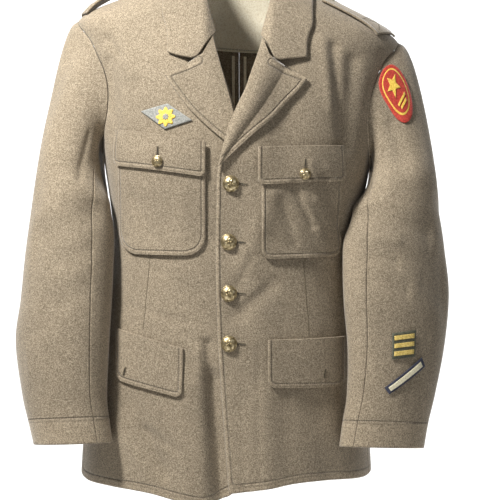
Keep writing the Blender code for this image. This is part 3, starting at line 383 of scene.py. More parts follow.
class Socket:
    """A shader value that arithmetic can be done on."""

    def __init__(self, tree, output):
        self.tree, self.output = tree, output

    def math(self, operation, *others):
        node = self.tree.nodes.new("ShaderNodeMath")
        node.operation = operation
        for slot, value in zip(node.inputs, (self, *others)):
            if isinstance(value, Socket):
                self.tree.links.new(value.output, slot)
            else:
                slot.default_value = value
        return Socket(self.tree, node.outputs[0])

    def __add__(self, other):
        return self.math("ADD", other)

    def __sub__(self, other):
        return self.math("SUBTRACT", other)

    def __mul__(self, other):
        return self.math("MULTIPLY", other)

    def band(self, width):
        """One where the value is nought, fading to nought at this width either side."""
        return (self.math("ABSOLUTE") * (-1 / width) + 1).math("MAXIMUM", 0.0)

    def between(self, low, high, start=0.0, end=1.0):
        node = self.tree.nodes.new("ShaderNodeMapRange")
        node.interpolation_type = "SMOOTHSTEP"
        self.tree.links.new(self.output, node.inputs["Value"])
        for label, value in (("From Min", low), ("From Max", high), ("To Min", start), ("To Max", end)):
            node.inputs[label].default_value = value
        return Socket(self.tree, node.outputs[0])


class Shader:
    """A Principled material with the few nodes that cloth needs."""

    def __init__(self, name, roughness, sheen=0.0, metallic=0.0):
        self.material = bpy.data.materials.new(name)
        self.material.use_nodes = True
        self.tree = self.material.node_tree
        self.surface = self.tree.nodes["Principled BSDF"]
        self.surface.inputs["Roughness"].default_value = roughness
        self.surface.inputs["Metallic"].default_value = metallic
        self.surface.inputs["Sheen Weight"].default_value = sheen
        self.surface.inputs["Sheen Roughness"].default_value = 0.45
        self.places = self.tree.nodes.new("ShaderNodeTexCoord").outputs["Object"]

    def noise(self, scale, detail=2.0, places=None):
        node = self.tree.nodes.new("ShaderNodeTexNoise")
        self.tree.links.new(places or self.places, node.inputs["Vector"])
        node.inputs["Scale"].default_value = scale
        node.inputs["Detail"].default_value = detail
        return Socket(self.tree, node.outputs[0])

    def attribute(self, name):
        node = self.tree.nodes.new("ShaderNodeAttribute")
        node.attribute_name = name
        return Socket(self.tree, node.outputs["Fac"])

    def flat(self, axis):
        """A coordinate of the piece's own flat cut, in metres."""
        node = self.tree.nodes.new("ShaderNodeUVMap")
        node.uv_map = "cloth"
        parts = self.tree.nodes.new("ShaderNodeSeparateXYZ")
        self.tree.links.new(node.outputs[0], parts.inputs[0])
        return Socket(self.tree, parts.outputs[axis])

    def colours(self, share, stops):
        node = self.tree.nodes.new("ShaderNodeValToRGB")
        self.tree.links.new(share.output, node.inputs[0])
        ramp = node.color_ramp
        while len(ramp.elements) < len(stops):
            ramp.elements.new(0.5)
        for element, (place, colour) in zip(ramp.elements, stops):
            element.position = place
            element.color = (*colour, 1.0)
        return node.outputs[0]

    def scaled(self, colour, share):
        """A colour made lighter or darker by a value."""
        node = self.tree.nodes.new("ShaderNodeVectorMath")
        node.operation = "SCALE"
        self.tree.links.new(colour, node.inputs[0])
        self.tree.links.new(share.output, node.inputs["Scale"])
        return node.outputs[0]

    def paint(self, colour):
        self.tree.links.new(colour, self.surface.inputs["Base Color"])

    def bump(self, height, distance, strength=1.0):
        node = self.tree.nodes.new("ShaderNodeBump")
        node.inputs["Distance"].default_value = distance
        node.inputs["Strength"].default_value = strength
        self.tree.links.new(height.output, node.inputs["Height"])
        self.tree.links.new(node.outputs[0], self.surface.inputs["Normal"])


def woven(name, dark, middle, light, twill=0.0013, roughness=0.9, sheen=0.25):
    """A heathered twill whose stitching shows as a grooved dashed line darkened with painted shade, and whose
    rolled edges are lightened with a painted highlight.
    """
    cloth = Shader(name, roughness, sheen)
    fibre = cloth.noise(700.0, 2.0) * 0.80 + cloth.noise(260.0, 2.0) * 0.20
    wale = ((cloth.flat("X") + cloth.flat("Y") * 1.6) * (2 * math.pi / twill)).math("SINE")
    thread = fibre + wale * 0.035
    mottle = cloth.noise(16.0, 3.0).between(0.3, 0.7, 0.93, 1.06)
    line = cloth.attribute("stitch")
    dash = (cloth.attribute("run") * (2 * math.pi / 0.0030)).math("SINE").between(-0.6, 0.2)
    groove = line.band(0.0014)
    # Painted shade: the colour is darkened along the stitching groove, by up to half where the thread dashes lie.
    painted_groove_shade = groove * (dash * 0.5 + 0.5)
    puff = line.between(-0.0055, -0.0030) * line.between(-0.0026, -0.0008, 1.0, 0.0)
    # Painted highlight: the rolled edges past the stitching are made up to 16% lighter, and the rest of the cloth
    # 3% darker.
    ridge = line.between(-0.0060, -0.0015, 1.16, 0.97)
    colour = cloth.colours(thread, [(0.32, dark), (0.50, middle), (0.70, light)])
    # The colour's scale: random mottle, times the painted groove shade and the painted edge highlight.
    shade = mottle * (painted_groove_shade * -0.50 + 1) * ridge
    cloth.paint(cloth.scaled(colour, shade))
    nap = cloth.noise(1100.0, 2.0)
    height = thread * 0.5 + nap * 0.25 + puff * 0.8 - groove * 1.6
    cloth.bump(height, 0.0007, 0.75)
    return cloth.material


WOOL = woven("olive_wool_serge", WOOL_DARK, WOOL_MIDDLE, WOOL_LIGHT)
FRONT_ROWS = (26, 60, 150)
FRONT_COLUMNS = 78


def skirt_levels(count):
    return np.linspace(armhole(SIDE_SEAM_STEP, 1, GAP / 2)[1], HEM_LEVEL, count)


def panel_ends(side, back=False):
    """The depth and end angle of each row of a front or a back, from the shoulder down to the hem."""
    ridge = side * (90 + RIDGE_HALF_ANGLE * (1 if back else -1))
    levels = list(np.linspace(GAP, armhole(0, 1, GAP / 2)[1], FRONT_ROWS[0])[:-1])
    ends = [ridge] * len(levels)
    for step in np.linspace(0, SIDE_SEAM_STEP, FRONT_ROWS[1])[:-1]:
        angle, down = armhole(ARMHOLE_STEPS - step if back else step, side, GAP / 2)
        levels.append(float(down))
        ends.append(float(angle) if step else ridge)
    last = float(armhole(ARMHOLE_STEPS - SIDE_SEAM_STEP if back else SIDE_SEAM_STEP, side, 0)[0])
    for down in skirt_levels(FRONT_ROWS[2]):
        levels.append(float(down))
        ends.append(last + (1 if back else -1) * side * SEAM_HALF_ANGLE)
    return np.array(levels), np.array(ends)


def panel(starts, ends, levels, side, columns, lapped=False):
    """The outer and inner grids of a piece of the body."""
    share = np.linspace(0, 1, columns)
    angle = starts[:, None] + (ends - starts)[:, None] * share
    down = hem_depth(side, angle, np.broadcast_to(levels[:, None], angle.shape))
    return body(angle, down, 0.0, lapped), body(angle, down, -WALL, lapped)


for name, side in (("left", -1), ("right", 1)):
    levels, ends = panel_ends(side)
    edges = angle_of(FRONT_EDGE(name, levels), levels)
    outer, inner = panel(edges, ends, levels, side, FRONT_COLUMNS, lapped=side > 0)
    break_row = int(np.searchsorted(levels, FRONT_STITCH_FROM))
    stitches = [(outer[break_row:, 0], FRONT_STITCH), (outer[-1], HEM_STITCH)]
    front = shell("front_cloth_" + name, outer, inner, WOOL, stitches)
    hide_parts("front_" + name)


# Side panels and backs
# The underarm panels and the two halves of the back, joined by plain pressed-open seams down the sides and the
# centre. The back has the long drapes and blade creases that such a coat has when it is worn.
SIDE_COLUMNS = 26
BACK_COLUMNS = 62
BENT_SHARE = 3 / 17
CENTRE_HALF_ANGLE = 0.015

for name, side in (("left", -1), ("right", 1)):
    steps = np.linspace(SIDE_SEAM_STEP, ARMHOLE_STEPS - SIDE_SEAM_STEP, SIDE_COLUMNS)
    angles, tops = armhole(steps, side, GAP / 2)
    angles = np.array(angles)
    angles[0] = armhole(SIDE_SEAM_STEP, side, 0)[0] + side * SEAM_HALF_ANGLE
    angles[-1] = armhole(ARMHOLE_STEPS - SIDE_SEAM_STEP, side, 0)[0] - side * SEAM_HALF_ANGLE
    levels = skirt_levels(FRONT_ROWS[2])
    bend = np.clip((levels - levels[0]) / ((levels[-1] - levels[0]) * BENT_SHARE), 0, 1)[:, None]
    joins = levels[0] + (levels[-1] - levels[0]) * BENT_SHARE
    down = np.where(bend < 1, tops[None, :] + (joins - tops[None, :]) * bend, levels[:, None])
    angle = np.broadcast_to(angles[None, :], down.shape)
    down = hem_depth(side, angle, down)
    outer, inner = body(angle, down), body(angle, down, -WALL)
    gusset = shell("side_cloth_" + name, outer, inner, WOOL, [(outer[-1], HEM_STITCH)])
    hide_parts("side_" + name)

    levels, starts = panel_ends(side, back=True)
    centre = np.full(len(levels), side * (180 - CENTRE_HALF_ANGLE))
    outer, inner = panel(starts, centre, levels, side, BACK_COLUMNS)
    half = shell("back_cloth_" + name, outer, inner, WOOL, [(outer[-1], HEM_STITCH)])
    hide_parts("back_" + name)


# Sleeves
# Two-piece sleeves: a top sleeve round the outside and an under sleeve towards the body. They hang a little
# forward as an arm does, with elbow creases and a turned cuff held by one row of stitching.
SLEEVE_CLEAR = 0.0060
SLEEVE_RINGS = {
    "right": [
        (0.2230, -0.050, -0.3550, 14, 0.0765, 0.062, 26, 8),
        (0.2235, -0.063, -0.3920, 9, 0.0800, 0.058, 28, 8),
        (0.2255, -0.075, -0.4320, 6, 0.0830, 0.054, 28, 8),
        (0.2284, -0.087, -0.4890, 2, 0.0840, 0.050, 26, 9),
        (0.2259, -0.101, -0.5570, 0, 0.0760, 0.044, 24, 9),
        (0.2172, -0.110, -0.6220, -2, 0.0670, 0.041, 20, 9),
        (0.2085, -0.117, -0.6600, -3, 0.0640, 0.039, 18, 9),
        (0.2020, -0.122, -0.6960, -4, 0.0622, 0.038, 16, 9),
    ],
    "left": [
        (0.2385, -0.051, -0.3480, 14, 0.0610, 0.063, 20, 7),
        (0.2405, -0.063, -0.3880, 9, 0.0630, 0.060, 20, 7),
        (0.2430, -0.074, -0.4360, 6, 0.0660, 0.057, 20, 8),
        (0.2460, -0.087, -0.4970, 2, 0.0680, 0.053, 20, 8),
        (0.2498, -0.096, -0.5530, 0, 0.0700, 0.049, 18, 8),
        (0.2450, -0.103, -0.6250, -2, 0.0625, 0.046, 16, 8),
        (0.2380, -0.109, -0.6600, -3, 0.0590, 0.045, 14, 8),
        (0.2310, -0.114, -0.6920, -4, 0.0570, 0.044, 14, 8),
    ],
}
UNDERARM_TURN = 19.0
UNDERARM_STEP = 12.0
UNDERARM_SPREAD = 2.6
CAP_RINGS = 6
CAP_OUT = (0.024, 0.010)
CAP_RISE = (0.135, 0.030)
CAP_RELAX = 0.9
CAP_PASSES = 12
NORMAL_PASSES = 42
SEAM_SETTLES_IN = 1.5
TOP_SLEEVE = (-6, 8)
UNDER_SLEEVE = (8, 14)
# Creases of the sleeves: from step and ring to step and ring, half width in steps, height
SLEEVE_FOLDS = {
    "right": [
        (8.5, 6.2, 4.0, 7.4, 0.55, -0.0050),
        (8.0, 7.6, 3.0, 8.6, 0.55, -0.0040),
        (7.0, 4.4, 3.0, 5.6, 0.70, 0.0040),
        (12.0, 6.4, 15.0, 7.6, 0.60, -0.0050),
        (5.0, 2.6, 5.4, 4.4, 0.70, -0.0040),
        (7.8, 7.9, 6.2, 8.2, 0.22, -0.0026),
        (7.9, 8.5, 5.6, 8.9, 0.24, -0.0024),
        (7.6, 7.2, 6.0, 7.5, 0.22, 0.0018),
        (4.5, 8.8, 2.5, 9.3, 0.26, -0.0016),
        (7.0, 9.6, 4.0, 9.9, 0.28, -0.0015),
        (6.6, 3.0, 7.0, 5.0, 0.30, -0.0022),
        (3.0, 6.2, 1.0, 7.0, 0.35, -0.0014),
        (7.4, 10.4, 5.2, 11.2, 0.25, 0.0014),
        (14.0, 7.0, 16.5, 7.6, 0.30, -0.0025),
    ],
    "left": [
        (8.0, 6.4, 4.0, 7.6, 0.60, -0.0040),
        (7.0, 4.2, 3.4, 5.8, 0.70, -0.0035),
        (12.0, 6.2, 15.0, 7.4, 0.60, -0.0050),
        (2.4, 1.4, 2.2, 3.2, 0.80, -0.0045),
        (8.0, 7.6, 5.4, 8.2, 0.26, -0.0018),
        (7.8, 8.6, 5.0, 9.2, 0.28, -0.0016),
        (5.0, 6.0, 2.5, 6.8, 0.35, -0.0012),
        (6.0, 9.8, 3.5, 10.4, 0.30, 0.0014),
        (6.4, 2.6, 6.8, 4.6, 0.32, -0.0020),
        (14.0, 6.8, 16.5, 7.6, 0.30, -0.0025),
    ],
}
CUFF_STITCH = 0.036
SEAM_ROUNDING = 0.3
SLEEVE_FINE = (8, 12)


def reach_of(point):
    """How far out from the body's axis points are, with 1 on the smooth body."""
    x, y, z = point[..., 0], point[..., 1], point[..., 2]
    down = BODY("tilt", -z) * x - z
    square = BODY("square", down)
    depth = np.where(y < 0, BODY("front", down), BODY("back", down))
    beside = np.abs(x - BODY("shift", down)) / BODY("half_width", down)
    return (beside**square + np.abs(y / depth) ** square) ** (1 / square)


def keep_off(point, clear):
    """Points, moved out where they are nearer than this to the smooth body."""
    nudge = 0.001
    for _ in range(4):
        here = reach_of(point)
        slope = np.stack([(reach_of(point + nudge * axis) - here) / nudge for axis in np.eye(3)], -1)
        short = np.maximum(clear - (here - 1) / np.linalg.norm(slope, axis=-1), 0.0)
        point = point + unit(slope) * short[..., None]
    return point


def sleeve_ring(ring, side):
    x, y, z, climb, width, depth, yaw, pitch = ring
    steps = np.arange(ARMHOLE_STEPS)
    shifted = UNDERARM_TURN * np.exp(-(((steps - UNDERARM_STEP) / UNDERARM_SPREAD) ** 2))
    turn = np.radians(360 * steps / ARMHOLE_STEPS + shifted)[:, None]
    climb, yaw, pitch = math.radians(climb), math.radians(yaw), math.radians(pitch)
    outwards = np.array([math.cos(climb) * math.cos(yaw), math.cos(climb) * math.sin(yaw), math.sin(climb)])
    backwards = np.array([-math.sin(yaw), math.cos(yaw) * math.cos(pitch), -math.sin(pitch)])
    point = np.array([x, y, z]) + outwards * width * np.cos(turn) - backwards * depth * np.sin(turn)
    return keep_off(point * [side, 1, 1], SLEEVE_CLEAR)


def sleeve_form(name, side):
    """The rings of a sleeve from the sleeve seam to the cuff, as its solid has them."""
    seam = body(*armhole(np.arange(ARMHOLE_STEPS), side, -GAP / 2))
    rings = [sleeve_ring(ring, side) for ring in SLEEVE_RINGS[name]]
    high = ((1 + np.cos(2 * np.pi * np.arange(ARMHOLE_STEPS) / ARMHOLE_STEPS)) / 2)[:, None]
    away = np.array([side, 0, 0]) * (CAP_OUT[1] + (CAP_OUT[0] - CAP_OUT[1]) * high)
    rise = unit(rings[0] - rings[1]) * (CAP_RISE[1] + (CAP_RISE[0] - CAP_RISE[1]) * high**1.5)
    grid = [seam]
    for share in np.linspace(0, 1, CAP_RINGS + 1)[1:-1]:
        rest = 1 - share
        row = seam * rest**3 + (seam + away) * 3 * share * rest**2
        grid.append(row + (rings[0] + rise) * 3 * share**2 * rest + rings[0] * share**3)
    grid = np.array(grid + rings)
    cap = slice(1, CAP_RINGS - 1)
    for _ in range(CAP_PASSES):
        around = (np.roll(grid, 1, axis=1) + np.roll(grid, -1, axis=1))[cap] / 2
        beside = (grid[0:CAP_RINGS - 2] + grid[2:CAP_RINGS]) / 2
        grid[cap] += ((around + beside) / 2 - grid[cap]) * CAP_RELAX * (1 - high) ** 2
    for row in range(1, CAP_RINGS - 1):
        grid[row] = keep_off(grid[row], SLEEVE_CLEAR * ease(3 * row / (CAP_RINGS - 1)))
    return grid


def refined(grid, times, closed=False):
    """A grid with more rows, on smooth curves through its own."""
    count = len(grid)
    places = np.linspace(0, count if closed else count - 1, (count if closed else count - 1) * times + 1)
    low = np.minimum(places.astype(int), count - (1 if closed else 2))
    share = (places - low).reshape(-1, *[1] * (grid.ndim - 1))

    def row(at):
        return grid[at % count] if closed else grid[np.clip(at, 0, count - 1)]

    before, start, end, after = row(low - 1), row(low), row(low + 1), row(low + 2)
    if not closed:
        before = np.where((low == 0).reshape(share.shape), 2 * start - end, before)
        after = np.where((low == count - 2).reshape(share.shape), 2 * end - start, after)
    first = (end - before) * share
    second = (2 * before - 5 * start + 4 * end - after) * share**2
    third = (3 * start - before - 3 * end + after) * share**3
    return 0.5 * (2 * start + first + second + third)


def sleeve_grids(name, side):
    """The outer and inner points of a whole sleeve on its fine grid."""
    per_step, per_ring = SLEEVE_FINE
    fine = refined(refined(sleeve_form(name, side), per_ring).transpose(1, 0, 2), per_step, closed=True)
    fine = fine.transpose(1, 0, 2)
    steps = np.linspace(0, ARMHOLE_STEPS, ARMHOLE_STEPS * per_step + 1)
    rows = np.arange(len(fine)) / per_ring
    true_seam = body(*armhole(steps, side, -GAP / 2))
    fine += (true_seam - fine[0])[None] * (1 - ease(rows / SEAM_SETTLES_IN))[:, None, None]
    ring = fine[:, :-1]
    around = np.roll(ring, -1, axis=1) - np.roll(ring, 1, axis=1)
    below = np.gradient(ring, axis=0)
    normals = unit(np.cross(around, below)) * side
    for _ in range(NORMAL_PASSES):
        padded = np.concatenate([normals[:1], normals, normals[-1:]])
        beside = np.roll(normals, 1, axis=1) + np.roll(normals, -1, axis=1)
        normals = unit(normals + beside + padded[:-2] + padded[2:])
    normals = np.concatenate([normals, normals[:, :1]], axis=1)
    height = np.zeros(fine.shape[:2])
    for step0, row0, step1, row1, width, tall in SLEEVE_FOLDS[name]:
        long = (step1 - step0) ** 2 + (row1 - row0) ** 2
        for lap in (0, ARMHOLE_STEPS, -ARMHOLE_STEPS):
            at = steps[None, :] + lap
            down = rows[:, None] - row0
            share = np.clip(((at - step0) * (step1 - step0) + down * (row1 - row0)) / long, 0, 1)
            away = np.hypot(at - step0 - (step1 - step0) * share, down - (row1 - row0) * share)
            height += tall * np.exp(-((away / width) ** 2))
    height *= ease(rows)[:, None]
    outer = fine + normals * height[..., None]
    return outer, outer - normals * WALL, normals


def strip(grid, first, last):
    """The columns of a tube from one step to another, drawn in by half the gap at both edges."""
    per_step = SLEEVE_FINE[0]
    total = ARMHOLE_STEPS * per_step
    piece = grid[:, np.arange(first * per_step, last * per_step + 1) % total].copy()
    piece[:, 0] += unit(piece[:, 1] - piece[:, 0]) * GAP / 2
    piece[:, -1] += unit(piece[:, -2] - piece[:, -1]) * GAP / 2
    return piece


SLEEVE_GRIDS = {}
for name, side in (("left", -1), ("right", 1)):
    outer, inner, normals = sleeve_grids(name, side)
    SLEEVE_GRIDS[name] = (outer, normals)
    for kind, (first, last) in (("top", TOP_SLEEVE), ("under", UNDER_SLEEVE)):
        over, under = strip(outer, first, last), strip(inner, first, last)
        sleeve = shell(f"sleeve_{kind}_cloth_{name}", over, under, WOOL, [(over[-1], CUFF_STITCH)], SEAM_ROUNDING)
        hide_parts(f"sleeve_{kind}_{name}")


# Lapels and collar
# The fronts' facings turned back as notched lapels, and the collar that stands on the neck seam and falls over
# its roll. Both are topstitched near their edges, and the collar has a worked eyelet at each end.
LAPEL_ROWS = {
    "right": Curves("row roll_x roll_z edge_x edge_z rise", [
        (0, -0.0250, -0.3060, -0.0225, -0.3030, 0.15),
        (1, -0.0190, -0.2820, 0.0000, -0.2820, 0.50),
        (2, -0.0110, -0.2560, 0.0255, -0.2585, 0.80),
        (3, 0.0000, -0.2280, 0.0480, -0.2390, 1.00),
        (4, 0.0110, -0.2000, 0.0700, -0.2140, 1.00),
        (5, 0.0200, -0.1720, 0.0870, -0.1960, 1.00),
        (6, 0.0290, -0.1450, 0.0973, -0.1815, 1.00),
    ]),
    "left": Curves("row roll_x roll_z edge_x edge_z rise", [
        (0, 0.0050, -0.2700, -0.0120, -0.2730, 0.05),
        (1, 0.0025, -0.2550, -0.0290, -0.2600, 0.08),
        (2, -0.0035, -0.2330, -0.0480, -0.2430, 0.15),
        (3, -0.0100, -0.2080, -0.0660, -0.2246, 0.50),
        (4, -0.0165, -0.1850, -0.0810, -0.2050, 0.90),
        (5, -0.0230, -0.1620, -0.0920, -0.1890, 1.00),
        (6, -0.0290, -0.1400, -0.1009, -0.1758, 1.00),
    ]),
}
LAPEL_TOPS = {"right": (0.0345, -0.1240, 0.0475, -0.1635), "left": (-0.0335, -0.1210, -0.0530, -0.1595)}
NOTCH_SHARE = 0.4
LAPEL_THICK = 0.0036
LAPEL_LIFT = {"right": 0.0015, "left": 0.0012}
LAPEL_ROLL = 0.0055
LAPEL_ROLL_START = 0.12
LAPEL_ROLL_RATE = 1.6
LAPEL_ROLL_POWER = 0.8
LAPEL_STITCH = 0.0062
LAPEL_FINE = (70, 22, 46)
COLLAR_ROWS = Curves("around seam_down seam_angle roll_x roll_y roll_z edge_angle edge_down", [
    (0.00, 0.117, 72.0, 0.0335, -0.1095, -0.1160, 22.5, 0.143),
    (0.16, 0.080, 72.0, 0.0440, -0.0980, -0.0740, 23.5, 0.103),
    (0.34, 0.040, 71.0, 0.0550, -0.0780, -0.0280, 33.0, 0.062),
    (0.46, 0.000, 70.2, 0.0630, -0.0500, 0.0060, 51.0, 0.036),
    (0.57, 0.000, 84.0, 0.0665, -0.0240, 0.0240, 74.0, 0.021),
    (0.71, 0.000, 108.0, 0.0650, 0.0180, 0.0320, 108.0, 0.017),
    (0.82, 0.000, 138.0, 0.0440, 0.0490, 0.0350, 135.0, 0.020),
    (0.92, 0.000, 160.0, 0.0220, 0.0630, 0.0360, 158.0, 0.022),
    (1.00, 0.000, 180.0, 0.0000, 0.0670, 0.0365, 180.0, 0.022),
])
COLLAR_TILT = -0.068
COLLAR_THICK = 0.0024
COLLAR_ROLL = 0.0045
COLLAR_LIFT = 0.0034
COLLAR_SEAT = 0.0006
COLLAR_ON_RING = 0.001
# From the roll to the edge: share of the way, rise, and how far out and down the right and left ends go
COLLAR_FALL = (
    (0.10, 1.1, 0.0016, 0.0140, 0.0046, 0.0190),
    (0.28, 1.0, 0.0004, 0.0310, 0.0056, 0.0350),
    (0.62, 0.5, -0.0010, 0.0180, 0.0021, 0.0250),
    (1.00, 0.0, 0.0000, 0.0000, 0.0000, 0.0070),
)
COLLAR_END = 0.16
COLLAR_FINE = (110, 6)
COLLAR_STITCH_FROM = 16


def lapel_places(name):
    """The x and z of a lapel's grid, and the rise of its roll at each row."""
    rows, top_rows, columns = LAPEL_FINE
    table = LAPEL_ROWS[name]
    at = np.linspace(0, 6, rows)
    share = np.linspace(0, 1, columns)
    x = table("roll_x", at)[:, None] * (1 - share) + table("edge_x", at)[:, None] * share
    z = table("roll_z", at)[:, None] * (1 - share) + table("edge_z", at)[:, None] * share
    gorge_x, gorge_z, notch_x, notch_z = LAPEL_TOPS[name]
    top_x = np.interp(share, [0, NOTCH_SHARE, 1], [gorge_x, notch_x, x[-1, -1]])
    top_z = np.interp(share, [0, NOTCH_SHARE, 1], [gorge_z, notch_z, z[-1, -1]])
    up = np.linspace(0, 1, top_rows)[1:, None]
    x = np.concatenate([x, x[-1] + (top_x - x[-1]) * up])
    z = np.concatenate([z, z[-1] + (top_z - z[-1]) * up])
    rise = np.concatenate([table("rise", at), np.full(top_rows - 1, table("rise", 6))])
    return x, z, rise


for name, side in (("left", -1), ("right", 1)):
    x, z, rise = lapel_places(name)
    share = np.linspace(0, 1, x.shape[1])
    turned = np.minimum(share * LAPEL_ROLL_RATE + LAPEL_ROLL_START, 1.0)
    roll = np.sin(np.pi * turned).clip(0, 1) ** LAPEL_ROLL_POWER
    lift = LAPEL_LIFT[name] + rise[:, None] * LAPEL_ROLL * roll
    outer = on_front(x, z, lift + LAPEL_THICK, side > 0)
    inner = on_front(x, z, lift, side > 0)
    stitches = [(outer[:, -1], LAPEL_STITCH), (outer[-1, int(NOTCH_SHARE * outer.shape[1]):], LAPEL_STITCH)]
    lapel = shell("lapel_cloth_" + name, outer, inner, WOOL, stitches)
    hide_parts("lapel_" + name)


def collar_line(around, side):
    """One section of the collar, from the neck seam over the roll to the outer edge."""
    row = {label: float(COLLAR_ROWS(label, around)) for label in COLLAR_ROWS.columns}
    roll_x = row["roll_x"]
    if row["seam_down"] > COLLAR_ON_RING:
        level = row["seam_down"]
        own = abs(float(FRONT_EDGE("right" if side > 0 else "left", level)))
        roll_x += own - float(FRONT_EDGE("right", level))
        aside = math.degrees((GAP + COLLAR_THICK / 2) / float(BODY("half_width", level)))
        seam = body((angle_of(own, level) - aside) * side, level, -WALL / 2)
    else:
        seam = body(row["seam_angle"] * side, 0.0, -WALL / 2) + np.array([0, 0, GAP + COLLAR_SEAT])
    roll = np.array([roll_x * side, row["roll_y"], row["roll_z"] + COLLAR_TILT * roll_x * side])
    edge = body_point(row["edge_angle"] * side, row["edge_down"])
    line = [seam, (seam + roll) / 2, roll]
    near_end = 1 - ease(around / COLLAR_END)
    for share, rise, right_out, right_down, left_out, left_down in COLLAR_FALL:
        out, down = (right_out, right_down) if side > 0 else (left_out, left_down)
        point = roll + (edge - roll) * share + np.array([out * side, 0, -down]) * near_end
        line.append(keep_off(point, COLLAR_LIFT + COLLAR_ROLL * rise))
    return np.array(line)


places = np.linspace(0, 1, COLLAR_FINE[0])
sections = [collar_line(around, -1) for around in places]
sections += [collar_line(around, 1) for around in places[-2::-1]]
sections = refined(np.array(sections).transpose(1, 0, 2), COLLAR_FINE[1]).transpose(1, 0, 2)
normals = unit(np.cross(np.gradient(sections, axis=1), np.gradient(sections, axis=0)))
outer = sections + normals * COLLAR_THICK / 2
inner = sections - normals * COLLAR_THICK / 2
borders = (outer[:, -1], outer[0, COLLAR_STITCH_FROM:], outer[-1, COLLAR_STITCH_FROM:])
stitches = [(line, LAPEL_STITCH) for line in borders]
collar = shell("collar_cloth", outer, inner, WOOL, stitches)
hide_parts("collar")
COLLAR_GRID = outer


# Pockets and flaps
# Two patch pockets on the chest under flaps, and two flaps below the waist that cover cut-in pockets. They are
# of the same serge, turned in at the edges and topstitched a presser foot's width from them.
POCKET_NAMES = ("left", "right", "top_left", "top_right", "low_left", "low_right", "radius", "lift", "thick")
CHEST_POCKETS = {
    "left": (-0.1690, -0.0430, -0.2900, -0.3100, -0.4255, -0.4285, 0.030, 0.0014, 0.0024),
    "right": (0.0330, 0.1460, -0.3170, -0.3120, -0.4330, -0.4290, 0.014, 0.0014, 0.0024),
}
CHEST_FLAPS = {
    "left": (-0.1725, -0.0425, -0.2480, -0.2715, -0.2985, -0.3195, 0.009, 0.0050, 0.0024),
    "right": (0.0280, 0.1490, -0.2790, -0.2725, -0.3300, -0.3225, 0.009, 0.0050, 0.0024),
}
LOWER_FLAPS = {
    "left": (-0.1720, -0.0740, -0.5310, -0.5560, -0.6035, -0.6245, 0.012, 0.0009, 0.0034),
    "right": (0.0415, 0.1510, -0.5440, -0.5430, -0.6100, -0.6140, 0.012, 0.0009, 0.0034),
}
POCKET_STITCH = 0.0060
POCKET_SAG = 0.0010
POCKET_FINE = (44, 12, 64)


def rounded_patch(laid):
    """The x and z of a piece with rounded lower corners."""
    flat_rows, corner_rows, columns = POCKET_FINE
    height = (laid["top_left"] + laid["top_right"] - laid["low_left"] - laid["low_right"]) / 2
    corner = laid["radius"] / height
    turns = np.radians(np.linspace(0, 90, corner_rows))[1:]
    shares = np.concatenate([np.linspace(0, 1 - corner, flat_rows), 1 - corner * (1 - np.sin(turns))])
    insets = np.concatenate([np.zeros(flat_rows), laid["radius"] * (1 - np.cos(turns))])
    across = np.linspace(0, 1, columns)
    left, right = laid["left"] + insets[:, None], laid["right"] - insets[:, None]
    x = left + (right - left) * across
    share = (x - laid["left"]) / (laid["right"] - laid["left"])
    top = laid["top_left"] + (laid["top_right"] - laid["top_left"]) * share
    low = laid["low_left"] + (laid["low_right"] - laid["low_left"]) * share
    return x, top + (low - top) * shares[:, None], shares


def laid_piece(name, values, side, node, sag=0.0):
    """A piece laid on a front: its points are the front's own, moved out."""
    laid = dict(zip(POCKET_NAMES, values))
    x, z, shares = rounded_patch(laid)
    lift = laid["lift"] + sag * np.sin(np.pi * np.linspace(0, 1, x.shape[1])) * shares[:, None] ** 2
    outer = on_front(x, z, lift + laid["thick"], side > 0)
    inner = on_front(x, z, laid["lift"] + np.zeros_like(x), side > 0)
    border = np.concatenate([outer[:, 0], outer[-1], outer[::-1, -1]])
    piece = shell(name, outer, inner, WOOL, [(border, POCKET_STITCH)])
    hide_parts(node)
    return piece


for name, side in (("left", -1), ("right", 1)):
    for kind, label, places, sag in (
        ("pocket", "chest_pocket", CHEST_POCKETS, POCKET_SAG),
        ("flap", "chest_flap", CHEST_FLAPS, 0.0),
        ("lower", "lower_flap", LOWER_FLAPS, 0.0),
    ):
        laid_piece(f"{label}_cloth_{name}", places[name], side, f"{label}_{name}", sag)


# Shoulder straps
# A double strap sewn into each sleeve seam and buttoned near the collar, held down at the sleeve end by a
# boxed cross of stitching. The wearer's right one has sprung up off the shoulder.
STRAP_MIDDLE = {"right": -0.036, "left": -0.014}
STRAP_SPRING = {"right": 0.0014, "left": 0.0110}
STRAP_OUTER = 0.2365
STRAP_SEAM_BOW = 9.5
STRAP_INNER = 0.1130
STRAP_HALF_WIDTH = 0.0245
STRAP_POINT = 0.010
STRAP_POINT_FROM = 0.8
STRAP_NARROWS = 0.16
STRAP_THICK = 0.0030
STRAP_BASE = 0.0010
STRAP_BUTTON_IN = 0.021
STRAP_BUTTON_LIFT = 0.0014
STRAP_FINE = (70, 30)
STRAP_STITCH = 0.0055
SHOULDER_DEPTH = 0.130


def on_shoulder(x, y, out):
    """The points of the shoulder seen from above at x and y."""
    x, y = np.broadcast_arrays(np.asarray(x, float), np.asarray(y, float))
    high, low = np.zeros(x.shape), np.full(x.shape, SHOULDER_DEPTH)
    for _ in range(40):
        middle = (high + low) / 2
        square = BODY("square", middle)
        depth = np.where(y < 0, BODY("front", middle), BODY("back", middle))
        outside = np.abs(x / BODY("half_width", middle)) ** square + np.abs(y / depth) ** square > 1
        high, low = np.where(outside, middle, high), np.where(outside, low, middle)
    angle = angle_of(x, low)
    angle = np.where(y > 0, np.sign(x) * 180 - angle, angle)
    return body_point(angle, low) + body_normal(angle, low) * np.asarray(out)[..., None]


def strap_lift(name, share):
    return STRAP_BASE + STRAP_SPRING[name] * np.sin(np.pi * share) ** 0.8


